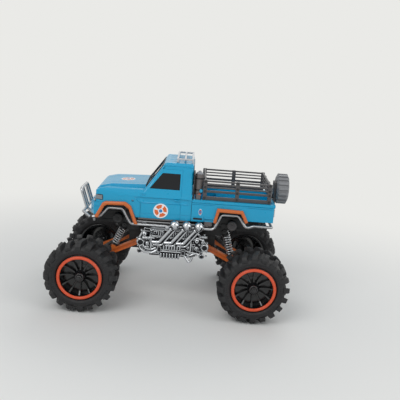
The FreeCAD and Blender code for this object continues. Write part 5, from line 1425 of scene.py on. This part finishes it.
def flat_frame(outer, inner, height):
    """A flat frame between two outlines in the XY plane, with bevelled edges."""
    count = len(outer)
    points = [(x, y, z) for z in (-0.3, height) for x, y in outer + inner]
    faces = []
    for index in range(count):
        after = (index + 1) % count
        faces.append((index, after, count + after, count + index))
        faces.append((2 * count + index, 3 * count + index, 3 * count + after, 2 * count + after))
        faces.append((index, 2 * count + index, 2 * count + after, after))
        faces.append((count + index, count + after, 3 * count + after, 3 * count + index))
    return softened(from_points("frame", points, faces), width=0.3, segments=2)


def moved(mesh, matrix):
    """The mesh itself, moved by a matrix in metres."""
    mesh.transform(matrix)
    return mesh


def add_gaskets():
    """Black rubber round the windscreen and the rear window, and two wipers."""
    screen = on_plane(SCREEN_BASE, LEFTWARD, SCREEN_FACING)
    rear = on_plane(REAR_BASE, RIGHTWARD, BACKWARD)
    parts = [moved(flat_frame(SCREEN_OUTER, SCREEN_INNER, height=0.9), screen)]
    parts.append(moved(flat_frame(REAR_OUTER, REAR_INNER, height=0.7), rear))
    for shift in WIPER_SHIFTS:
        for points, radius, sides in WIPER_PARTS:
            wiper = tube([(shift + x, y, z) for x, y, z in points], radius, sides=sides)
            parts.append(moved(wiper, screen))
    piece("gaskets_and_wipers", joined("gaskets", parts), black_abs, "chassis", "black_plastic")


# Gutter, door handle, bed rib and tailgate handle
GUTTER = ((15.6, 43.75, 195.4), (-5.0, 43.75, 195.2), (-24.4, 43.9, 194.4))
GUTTER_RADIUS = 0.65
DOOR_HANDLE = ((-8.6, 51.4, 148.9), (-1.0, 53.0, 150.6))
BED_RIB = ((-42.6, 51.6, 124.4), (-41.2, 52.7, 131.4))
TAILGATE_HANDLE = ((-138.6, -7.0, 146.6), (-136.6, 7.0, 148.2))


def add_body_trim():
    """Roof gutters, door handles, ribs on the bed's skirt and the tailgate's handle."""
    parts = []
    for side in (1, -1):
        parts.append(tube(sided(side, GUTTER), GUTTER_RADIUS, sides=12))
        parts.append(side_block(side, *DOOR_HANDLE, width=0.45))
        parts.append(side_block(side, *BED_RIB, width=0.35))
    parts.append(block(*TAILGATE_HANDLE))
    piece("body_trim", joined("trim", parts), blue_abs, "chassis", "blue_body")


# Lamps: places on the left side
LAMP_SPOT = (104.6, 44.3, 147.0)
LAMP_BEZEL_SECTION = ((2.35, -0.8), (3.0, -0.8), (2.9, 0.7), (2.45, 0.7))
# The bars above and below a headlamp, and the tubes that carry them round the wing
LAMP_BAR_Z = (143.5, 149.9)
LAMP_BAR_HEIGHT = 0.9
LAMP_BAR_X = (103.6, 105.2)
LAMP_BAR_Y = (39.4, 46.4)
LAMP_WRAP = ((104.6, 46.4), (102.2, 49.6), (95.0, 52.2))
LAMP_WRAP_RADIUS = 0.6
LAMP_UPRIGHTS = ((95.0, 52.2), (99.4, 50.7))
LAMP_UPRIGHT_Z = (144.0, 150.3)
SIGNAL_SPOT = (105.8, 47.6, 142.4)
SIGNAL_TURN = 0.9
SIGNAL_BEZEL_SECTION = ((1.8, -0.6), (2.4, -0.6), (2.3, 0.5), (1.9, 0.5))
MARKER_SPOT = (54.4, 51.9, 145.4)
MARKER_STRETCH = 1.5


def dome(radius, height, steps=32):
    """A lens dome on a short skirt, facing +Y at its foot."""
    section = (
        (0.02, height), (radius * 0.5, height * 0.86), (radius * 0.85, height * 0.45), (radius, 0.0),
        (radius, -1.2), (0.02, -1.2),
    )
    return turned(section, steps)


def add_lamps():
    """Silvered headlamps in dark bezels, with a round reflector, and small lenses on bumper and wing."""
    bezels, clear, markers = [], [], []
    for side in (1, -1):
        spot, signal, marker = sided(side, (LAMP_SPOT, SIGNAL_SPOT, MARKER_SPOT))
        bezels.append(placed(lathe(LAMP_BEZEL_SECTION, bend=0.2, arc_steps=2, steps=40), spot, Y_TO_X))
        clear.append(placed(dome(radius=2.4, height=1.0), spot, Y_TO_X))
        for z in LAMP_BAR_Z:
            low = (LAMP_BAR_X[0], LAMP_BAR_Y[0], z)
            high = (LAMP_BAR_X[1], LAMP_BAR_Y[1], z + LAMP_BAR_HEIGHT)
            bezels.append(side_block(side, low, high, width=0.3))
            wrap = [(x, side * y, z + LAMP_BAR_HEIGHT / 2) for x, y in LAMP_WRAP]
            bezels.append(tube(wrap, LAMP_WRAP_RADIUS, bend=2.0, sides=12))
        for x, y in LAMP_UPRIGHTS:
            bezels.append(tube([(x, side * y, z) for z in LAMP_UPRIGHT_Z], radius=0.55, sides=12))
        turn = facing_side(side) @ Matrix.Rotation(-side * SIGNAL_TURN, 4, "Z")
        clear.append(placed(dome(radius=1.9, height=1.2, steps=24), signal, turn))
        bezels.append(placed(lathe(SIGNAL_BEZEL_SECTION, bend=0.15, arc_steps=2, steps=32), signal, turn))
        stretched = facing_side(side) @ Matrix.Scale(MARKER_STRETCH, 4, FORWARD)
        markers.append(placed(dome(radius=1.3, height=0.8, steps=24), marker, stretched))
    lamps = softened(merged_copy("headlamps"), width=0.5, segments=3)
    piece("headlamps_fine", joined("lamps", [lamps]), lens, "chassis", "lamp_clear", "headlamps")
    piece("lamp_bezels", joined("bezels", bezels), black_abs, "chassis", "black_plastic")
    piece("lamp_reflectors", joined("reflectors", clear), silver_film, "chassis", "lamp_clear")
    piece("side_markers", joined("markers", markers), marker_lens, "chassis", "blue_body")


add_gaskets()
add_body_trim()
add_lamps()


# Bed rack
RACK_POSTS = (-41.7, -85.4, -129.1)
RACK_POST_HALF = 2.7
RACK_POST_Y = (46.3, 49.7)
RACK_POST_Z = (153.0, 180.4)
RACK_ROWS = ((163.4, 166.4), (169.4, 171.4), (173.7, 175.5), (177.8, 180.0))
RACK_FOOT_ROW = (153.0, 158.0)
RACK_SLAT_Y = (46.6, 49.2)
RACK_END_HALF = 1.3
RACK_END_REACH = 47.0
RACK_STILE_Y = (-24.0, 24.0)
RACK_STILE_HALF = (1.6, 2.2)
RACK_STILE_Z = (162.6, 180.2)
RACK_BOLT_Z = (165.0, 170.6, 178.4)
RACK_FOOT_BOLT_Z = 156.0


def add_rack():
    """Posts, slats all round and stiles at the ends, with rounded edges and a bolt head at each crossing."""
    parts, places, facings = [], [], []
    front, rear = RACK_POSTS[0], RACK_POSTS[-1]
    for side in (1, -1):
        for low, high in RACK_ROWS + (RACK_FOOT_ROW,):
            start, end = (rear, RACK_SLAT_Y[0], low), (front, RACK_SLAT_Y[1], high)
            parts.append(side_block(side, start, end, width=0.55, segments=3))
        for x in RACK_POSTS:
            low = (x - RACK_POST_HALF, RACK_POST_Y[0], RACK_POST_Z[0])
            high = (x + RACK_POST_HALF, RACK_POST_Y[1], RACK_POST_Z[1])
            parts.append(side_block(side, low, high, width=0.7, segments=3))
            for z in (RACK_FOOT_BOLT_Z,) + RACK_BOLT_Z:
                places.append((x, side * RACK_POST_Y[1], z))
                facings.append((0, side, 0))
    thick, wide = RACK_STILE_HALF
    for x, facing in ((front, FORWARD), (rear, BACKWARD)):
        for low, high in RACK_ROWS:
            start = (x - RACK_END_HALF, -RACK_END_REACH, low)
            end = (x + RACK_END_HALF, RACK_END_REACH, high)
            parts.append(block(start, end, width=0.55, segments=3))
        for y in RACK_STILE_Y:
            start = (x - thick, y - wide, RACK_STILE_Z[0])
            end = (x + thick, y + wide, RACK_STILE_Z[1])
            parts.append(block(start, end, width=0.6, segments=3))
            for z in RACK_BOLT_Z:
                places.append((x + thick * facing[0], y, z))
                facings.append(facing)
    bolts = studded(places, facings, hex_head(across=2.3, height=0.8, washer=3.3), gloss_black)
    piece("bed_rack_fine", joined("rack", parts), grey_abs, "chassis", "grey_plastic", "bed_rack")
    piece("rack_bolts", bolts, gloss_black, "chassis", "black_plastic")


# Fittings of the tank behind the cab: its middle, and the places and sections on it
TANK_X = -33.2
TANK_Y = 41.0
TANK_TOP = 186.6
TANK_BAND_Z = (165.5, 181.0)
TANK_CAP_SECTION = (
    (0.05, 0.0), (5.0, 0.0), (5.2, 0.8), (3.4, 2.6), (2.0, 3.0), (2.0, 4.4), (0.05, 4.6),
)
TANK_BAND_SECTION = ((5.4, -0.9), (6.1, -0.9), (6.1, 0.9), (5.4, 0.9))
# The foot, the bracket and the backing plate: low and high corners, edge and its segments
TANK_MOUNT = (
    ((-37.4, 34.4, 153.4), (-29.0, 47.6, 156.4), 0.7, 3),
    ((-29.6, 38.8, 158.0), (-26.6, 43.2, 184.0), 0.6, 2),
    ((-27.6, 33.6, 153.2), (-25.7, 48.6, 190.0), 0.5, 2),
)
GAUGE_SECTION = ((0.05, -1.5), (2.3, -1.5), (2.3, 0.4), (1.8, 0.8), (0.05, 0.8))
GAUGE_SPOT = (-36.6, 47.0, 164.6)
VALVE_LINE = ((-34.4, 45.6, 159.6), (-34.4, 49.6, 159.6))
VALVE_RADIUS = 1.3
VALVE_HANDLE = ((-36.6, 48.6, 159.0), (-32.2, 49.8, 160.2))


def add_tank_fittings():
    """A pale cap, two straps on a bracket, a gauge and a valve on the tank behind the cab."""
    cap = placed(lathe(TANK_CAP_SECTION, bend=0.5, arc_steps=3, steps=48), (TANK_X, TANK_Y, TANK_TOP), Y_TO_Z)
    band = lathe(TANK_BAND_SECTION, bend=0.25, arc_steps=2, steps=48)
    straps = [placed(band.copy(), (TANK_X, TANK_Y, z), Y_TO_Z) for z in TANK_BAND_Z]
    straps += [block(low, high, edge, segments) for low, high, edge, segments in TANK_MOUNT]
    gauge = placed(lathe(GAUGE_SECTION, bend=0.25, arc_steps=2, steps=36), GAUGE_SPOT)
    valve = [tube(VALVE_LINE, VALVE_RADIUS, sides=18), block(*VALVE_HANDLE, width=0.3)]
    piece("tank_cap", cap, light_abs, "chassis", "grey_plastic")
    piece("tank_straps", joined("straps", straps), black_abs, "chassis", "black_plastic")
    piece("tank_gauge", gauge, blue_abs, "chassis", "blue_body")
    piece("tank_valve", joined("valve", valve), red_orange_abs, "chassis", "orange_plastic")


# Bed: the seal behind the cab, the slot's inlay, stickers and the tailgate's fittings
SEAL_OUTLINE = ((-25.7, 122.8), (-24.9, 122.8), (-24.9, 151.6), (-25.7, 151.6))
SEAL_REACH = 50.9
SLOT_INLAY = ((-40.9, 50.2, 124.9), (-28.1, 51.1, 128.2))
STICKER_SPOT = (-37.6, 136.4)
STICKER_HALF = (2.3, 4.4)
STICKER_FOOT = 51.9
# The films of a sticker: name, share of its size, Y of its face and finish
STICKER_FILMS = (("white", 1.0, 52.12, white_film), ("blue", 0.82, 52.2, blue_film))
STICKER_DOT_RADIUS = 0.95
STICKER_DOT_FACE = 52.28
STICKER_DOT_Z = (2.0, -1.8)
HINGE_X = (-137.9, -136.6)
HINGE_Y = (-30.0, 30.0)
HINGE_Z = (124.2, 127.4)
HINGE_HALF = 4.0
# The hinge's pin: X and Z, half its length and its radius
HINGE_PIN = (-138.0, 125.8)
HINGE_PIN_HALF = HINGE_HALF + 0.4
HINGE_PIN_RADIUS = 0.8
TAIL_LAMP_X = (-138.1, -136.8)
TAIL_LAMP_Y = (41.6, 51.2)
TAIL_LAMP_Z = (136.4, 146.6)
TAIL_BEZEL = 0.8
TAIL_RIB_COUNT = 5
TAIL_RIB_Z = 138.2
TAIL_RIB_PITCH = 1.6
TAIL_RIB_INSET = 1.2
TAIL_RIB_RADIUS = 0.45


def film(side, half_x, half_z, face, steps, lift=0.0):
    """An upright oval of film on the bed's side, from inside the panel to its face's Y."""
    x, z = STICKER_SPOT
    oval = [(x + half_x * math.cos(a), z + lift + half_z * math.sin(a)) for a in angles(steps)]
    return skinned([[(px, side * y, pz) for px, pz in oval] for y in (STICKER_FOOT, face)])


def add_stickers():
    """On each side of the bed, an oval of white and blue film with two orange dots."""
    half_x, half_z = STICKER_HALF
    for side, label in ((1, "left"), (-1, "right")):
        for name, share, face, finish in STICKER_FILMS:
            oval = film(side, half_x * share, half_z * share, face, 40)
            piece("bed_sticker_%s_%s" % (name, label), oval, finish, "chassis", "blue_body")
        radius = STICKER_DOT_RADIUS
        dots = [film(side, radius, radius, STICKER_DOT_FACE, 24, lift) for lift in STICKER_DOT_Z]
        piece("bed_sticker_spots_" + label, joined("spots", dots), orange_abs, "chassis", "orange_plastic")


def add_bed_trim():
    """The seal behind the cab, the slot's inlay, and the tailgate's hinges and lamp bezels."""
    dark = [plate(SEAL_OUTLINE, -SEAL_REACH, SEAL_REACH, width=0.0)]
    dark += [side_block(side, *SLOT_INLAY, width=0.0) for side in (1, -1)]
    piece("bed_seal_and_slots", joined("seal", dark), black_abs, "chassis", "black_plastic")
    add_stickers()
    hinges = []
    for y in HINGE_Y:
        low = (HINGE_X[0], y - HINGE_HALF, HINGE_Z[0])
        high = (HINGE_X[1], y + HINGE_HALF, HINGE_Z[1])
        hinges.append(block(low, high))
        pin = [(HINGE_PIN[0], y + reach, HINGE_PIN[1]) for reach in (-HINGE_PIN_HALF, HINGE_PIN_HALF)]
        hinges.append(tube(pin, HINGE_PIN_RADIUS, sides=14))
    piece("tailgate_hinges", joined("hinges", hinges), black_abs, "chassis", "black_plastic")
    lenses, chrome = [], []
    (back, front), (inner, outer), (foot, top) = TAIL_LAMP_X, TAIL_LAMP_Y, TAIL_LAMP_Z
    for side in (1, -1):
        for z in (foot, top - TAIL_BEZEL):
            chrome.append(side_block(side, (back, inner, z), (front, outer, z + TAIL_BEZEL), width=0.25))
        for y in (inner, outer - TAIL_BEZEL):
            chrome.append(side_block(side, (back, y, foot), (front, y + TAIL_BEZEL, top), width=0.25))
        for k in range(TAIL_RIB_COUNT):
            z = TAIL_RIB_Z + TAIL_RIB_PITCH * k
            ends = sorted((side * (inner + TAIL_RIB_INSET), side * (outer - TAIL_RIB_INSET)))
            lenses.append(tube([(back + 0.3, y, z) for y in ends], TAIL_RIB_RADIUS, sides=10))
    piece("tail_lamp_bezels", joined("bezels", chrome), silver_film, "chassis", "silver_plating")
    piece("tail_lamp_ribs", joined("ribs", lenses), red_lens, "chassis", "lamp_red")


# Middle of the spare wheel: its place, and the sections and grips on it
SPARE_MIDDLE = (-159.2, 0, 167.0)
SPARE_DISC_SECTION = ((0.05, 0.0), (10.6, 0.0), (10.6, 0.8), (9.4, 1.5), (5.0, 1.0), (0.05, 1.0))
SPARE_KNOB_SECTION = ((0.05, 0.5), (3.6, 0.5), (3.6, 2.6), (3.0, 3.1), (0.05, 3.1))
SPARE_GRIP = ((-0.5, 0.8, 3.2), (0.5, 2.9, 4.1))
SPARE_GRIP_COUNT = 12
SPARE_BOLT_SPOT = (0, 1.0, 7.2)
SPARE_BOLT_COUNT = 5


def add_spare_fittings():
    """A disc, a ribbed knob and five bolts at the spare wheel's middle."""
    grip = block(*SPARE_GRIP, width=0.25)
    head = placed(hex_head(across=1.9, height=1.0, washer=2.4), SPARE_BOLT_SPOT, Z_TO_Y)
    disc = joined("disc", [
        lathe(SPARE_DISC_SECTION, bend=0.35, arc_steps=3, steps=64),
        lathe(SPARE_KNOB_SECTION, bend=0.4, arc_steps=3, steps=36),
        ring_of(grip, SPARE_GRIP_COUNT, grey_abs),
        ring_of(head, SPARE_BOLT_COUNT, grey_abs),
    ])
    piece("spare_disc", placed(disc, SPARE_MIDDLE, Y_TO_BACK), grey_abs, "chassis", "grey_plastic")


# Caps on the shock towers' ends
TOWER_CAPS = (("front", 75.6, black_abs), ("rear", -83.4, grey_abs))
TOWER_CAP_Y = 32.0
TOWER_CAP_Z = 114.9
TOWER_BOLT_Y = 33.2
TOWER_CAP_SECTION = ((0.05, -0.5), (6.7, -0.5), (6.7, 1.0), (5.9, 1.8), (4.4, 1.2), (0.05, 1.4))


def add_tower_caps():
    """Round caps with a bolt on the shock towers' ends: black in front, grey at the rear."""
    for label, x, finish in TOWER_CAPS:
        parts = []
        for side in (1, -1):
            cap = lathe(TOWER_CAP_SECTION, bend=0.35, arc_steps=3, steps=56)
            parts.append(placed(cap, (x, side * TOWER_CAP_Y, TOWER_CAP_Z), facing_side(side)))
            outwards = Matrix.Rotation(-side * math.pi / 2, 4, "X")
            bolt = hex_head(across=2.6, height=1.0, washer=3.6)
            parts.append(placed(bolt, (x, side * TOWER_BOLT_Y, TOWER_CAP_Z), outwards))
        piece("tower_caps_" + label, joined("caps", parts), finish, "chassis", "black_plastic")


# Black plates inside the arches that stand for the shade there, as painted shade: X and Z outlines, and inner
# and outer Y
FRONT_SHIELD = (
    (46.0, 97.0), (70.0, 97.0), (78.0, 106.0), (102.0, 106.0), (102.0, 148.0), (49.0, 148.0), (46.0, 124.0),
)
REAR_SHIELD = ((-46.0, 97.0), (-70.0, 97.0), (-78.0, 106.0), (-108.0, 106.0), (-108.0, 130.2), (-46.0, 130.2))
REAR_CURTAIN = ((-60.0, 130.4), (-62.8, 140.2), (-93.0, 139.4), (-97.6, 130.4))
SHIELDS = ((FRONT_SHIELD, 22.2, 23.4), (REAR_SHIELD, 22.2, 23.4), (REAR_CURTAIN, 43.4, 44.6))
SHIELD_RIB_X = (52.0, 100.0)
SHIELD_RIB_Y = 23.4
SHIELD_RIB_Z = (110.0, 124.0)
SHIELD_RIB_RADIUS = 0.9


def add_arch_shade_plates():
    """Black plates of painted shade along the frame that close the arches behind the shock towers, each with
    pressed ribs.
    """
    parts = []
    for side in (1, -1):
        for outline, inner, outer in SHIELDS:
            low, high = sorted((side * inner, side * outer))
            parts.append(plate(outline, low, high, width=0.3, segments=2))
        for end in (1, -1):
            for z in SHIELD_RIB_Z:
                line = [(end * x, side * SHIELD_RIB_Y, z) for x in SHIELD_RIB_X]
                parts.append(tube(line, SHIELD_RIB_RADIUS, sides=12))
    # The black plates paint the shade that fills the arches
    piece("arch_shields", joined("shields", parts), black_abs, "chassis", "black_plastic")


add_rack()
add_tank_fittings()
add_bed_trim()
add_spare_fittings()
add_tower_caps()
add_arch_shade_plates()


# Printed roundels on both doors and the bonnet
ROUNDEL_STEPS = 64
ROUNDEL_THICK = 0.25
ROUNDEL_SINK = 0.05
# The disc's levels: share of its radius, and share of its thickness
ROUNDEL_LEVEL_SHARES = ((1.0, 0.0), (1.0, 0.6), (0.985, 1.0))
BONNET_NORMAL = (2.0, 0, 47.1)


def roundel_mesh():
    """A thin disc in the XY plane with a UV map from -1 to 1."""
    work = bmesh.new()
    rim = [(ROUNDEL_RADIUS * math.cos(a), ROUNDEL_RADIUS * math.sin(a)) for a in angles(ROUNDEL_STEPS)]
    levels = []
    for share, height in ROUNDEL_LEVEL_SHARES:
        z = height * ROUNDEL_THICK
        levels.append([work.verts.new(Vector((x * share, y * share, z)) * MM) for x, y in rim])
    for low, high in zip(levels, levels[1:]):
        for k in range(ROUNDEL_STEPS):
            n = (k + 1) % ROUNDEL_STEPS
            work.faces.new((low[k], low[n], high[n], high[k]))
    work.faces.new(levels[-1])
    work.faces.new(levels[0][::-1])
    layer = work.loops.layers.uv.new("print")
    for face in work.faces:
        for loop in face.loops:
            loop[layer].uv = (loop.vert.co.x / ROUNDEL_RADIUS / MM, loop.vert.co.y / ROUNDEL_RADIUS / MM)
    mesh = bpy.data.meshes.new("roundel")
    work.to_mesh(mesh)
    work.free()
    return mesh


def add_roundels():
    """A disc of film on each door and one on the bonnet's slope."""
    x, z = DOOR_ROUNDEL
    for side, label in ((1, "left"), (-1, "right")):
        turn = Matrix((Vector((-side, 0, 0)), Vector(UP), Vector((0, side, 0)))).transposed().to_4x4()
        disc = placed(roundel_mesh(), (x, side * (BODY_SIDE - ROUNDEL_SINK), z), turn)
        piece("door_roundel_" + label, disc, roundel_film, "chassis", "blue_body")
    slope = Vector(BONNET_NORMAL).normalized()
    ahead = Vector(LEFTWARD).cross(slope)
    turn = Matrix((Vector(RIGHTWARD), ahead, slope)).transposed().to_4x4()
    disc = placed(roundel_mesh(), (BONNET_ROUNDEL_X, 0, BONNET_ROUNDEL_Z), turn)
    piece("bonnet_roundel", disc, roundel_film, "chassis", "blue_body")


add_roundels()


# Screws and pins of the running gear
COVER_SCREWS = [(x, y, 67.0) for x in (-27.0, 25.0) for y in (-35.0, 35.0)]
ARM_PIN_Y = 32.0
KINGPIN_SPOT = (105.5, 45.0, 61.1)
# Bolts round the axle pots: the pot's middle, and their place on its ball
POT_MIDDLE = (114.0, 48.5)
POT_BOLT_COUNT = 8
POT_BOLT_X = 8.9
POT_BOLT_CIRCLE = 9.2
POT_BOLT_SINK_SHARE = 0.99


def add_fasteners():
    """Heads on the battery cover and on the front yokes, pins in the arms, and bolts round the axle pots."""
    places = list(COVER_SCREWS)
    facings = [DOWN] * len(places)
    for end in (1, -1):
        for side in (1, -1):
            for x, z in ARM_PINS:
                places.append((end * x, side * ARM_PIN_Y, z))
                facings.append((0, side, 0))
        for angle in angles(POT_BOLT_COUNT):
            around = angle + math.pi / POT_BOLT_COUNT
            out, up = POT_BOLT_CIRCLE * math.cos(around), POT_BOLT_CIRCLE * math.sin(around)
            spot = Vector((end * POT_BOLT_X, out, up))
            places.append(Vector((end * POT_MIDDLE[0], 0, POT_MIDDLE[1])) + spot * POT_BOLT_SINK_SHARE)
            facings.append(spot.normalized())
    for side in (1, -1):
        places += sided(side, [KINGPIN_SPOT])
        facings.append(UP)
    mesh = studded(places, facings, hex_head(across=2.4, height=1.1, washer=3.4), screw_zinc)
    piece("running_gear_pins", mesh, screw_zinc, "chassis", "spring_steel")


add_fasteners()


# Floor, light and camera, in metres where a name ends in M
BACKDROP = "#EAEAE7"
SKY = "#EEF2F7"
SKY_STRENGTH = 0.5
FLOOR_HALF = 6000
# Where the floor starts to fade into the backdrop, and where it has faded
FADE_M = (0.16, 0.75)
# Area lamps: name, place and size in metres, and power in watts
LAMPS = (
    ("key", (0.55, 0.95, 1.05), (0.9, 0.7), 7.0), ("fill", (-0.9, 0.6, 0.7), (0.8, 0.8), 2.6),
    ("rim", (-0.3, -0.9, 0.9), (1.0, 0.5), 3.2),
)
LAMP_AIM_M = (0, 0, 0.1)
CAMERA_PLACE = (-23, 834, 325)
CAMERA_TILT = 12.4
# Rise of the picture's right side for each unit across
CAMERA_ROLL = 0.075
SENSOR_WIDTH = 36
FOCAL_LENGTH = 53.55


def seen_ray(tree):
    """1 for the rays that show the background: camera, glossy and transmission rays."""
    path = add(tree, "ShaderNodeLightPath")
    seen = add(tree, "ShaderNodeMath", {0: path.outputs["Is Camera Ray"], 1: path.outputs["Is Glossy Ray"]},
               operation="MAXIMUM")
    return add(tree, "ShaderNodeMath", {0: seen.outputs[0], 1: path.outputs["Is Transmission Ray"]},
               operation="MAXIMUM").outputs[0]


def add_stage():
    """A pale paper floor that takes the shadow near the truck and runs out into the backdrop's colour."""
    corners = [(x * FLOOR_HALF, y * FLOOR_HALF, 0) for x, y in ((-1, -1), (1, -1), (1, 1), (-1, 1))]
    mesh = from_points("floor", corners, [(0, 1, 2, 3)])
    floor = link(bpy.data.objects.new("floor", mesh))
    material = bpy.data.materials.new("matt_paper")
    material.use_nodes = True
    tree = material.node_tree
    tree.nodes.clear()
    paper = add(tree, "ShaderNodeBsdfPrincipled", {
        "Base Color": linear(BACKDROP), "Roughness": 0.9, "Specular IOR Level": 0.15,
    })
    pale = add(tree, "ShaderNodeEmission", {"Color": linear(BACKDROP), "Strength": 1.0})
    place = add(tree, "ShaderNodeTexCoord").outputs["Object"]
    reach = add(tree, "ShaderNodeVectorMath", {0: place}, operation="LENGTH")
    far = add(tree, "ShaderNodeMapRange", {
        "Value": reach.outputs["Value"], "From Min": FADE_M[0], "From Max": FADE_M[1],
        "To Min": 0.0, "To Max": 1.0,
    }, interpolation_type="SMOOTHSTEP")
    share = add(tree, "ShaderNodeMath", {0: far.outputs["Result"], 1: seen_ray(tree)}, operation="MULTIPLY")
    faded = add(tree, "ShaderNodeMixShader", {0: share.outputs[0], 1: paper.outputs[0], 2: pale.outputs[0]})
    add(tree, "ShaderNodeOutputMaterial", {"Surface": faded.outputs[0]})
    mesh.materials.append(material)


def add_lamp(name, place, size, power):
    """A rectangular area lamp that points at the truck."""
    light = bpy.data.lights.new(name, "AREA")
    light.shape = "RECTANGLE"
    light.size, light.size_y = size
    light.energy = power
    lamp = link(bpy.data.objects.new(name, light))
    lamp.location = place
    lamp.rotation_euler = (Vector(LAMP_AIM_M) - Vector(place)).to_track_quat("-Z", "Y").to_euler()


def add_world():
    """Soft sky light on the truck, and the backdrop's colour behind it and in its reflections."""
    world = bpy.data.worlds.new("studio")
    bpy.context.scene.world = world
    world.use_nodes = True
    tree = world.node_tree
    tree.nodes.clear()
    soft = add(tree, "ShaderNodeBackground", {"Color": linear(SKY), "Strength": SKY_STRENGTH})
    pale = add(tree, "ShaderNodeBackground", {"Color": linear(BACKDROP), "Strength": 1.0})
    shown = add(tree, "ShaderNodeMixShader", {0: seen_ray(tree), 1: soft.outputs[0], 2: pale.outputs[0]})
    add(tree, "ShaderNodeOutputWorld", {"Surface": shown.outputs[0]})


def add_camera():
    """The photograph's view: a small tilt down, and a slight roll."""
    tilt = math.radians(CAMERA_TILT)
    right = Vector((-1, 0, CAMERA_ROLL)).normalized()
    back = Vector((CAMERA_ROLL * math.sin(tilt), math.cos(tilt), math.sin(tilt))).normalized()
    up = back.cross(right)
    data = bpy.data.cameras.new("camera")
    data.sensor_width = SENSOR_WIDTH
    data.lens = FOCAL_LENGTH
    camera = link(bpy.data.objects.new("camera", data))
    matrix = Matrix((right, up, back)).transposed().to_4x4()
    matrix.translation = Vector(CAMERA_PLACE) * MM
    camera.matrix_world = matrix
    bpy.context.scene.camera = camera


add_stage()
for lamp_values in LAMPS:
    add_lamp(*lamp_values)
add_world()
add_camera()
bpy.context.scene.view_settings.view_transform = "Standard"
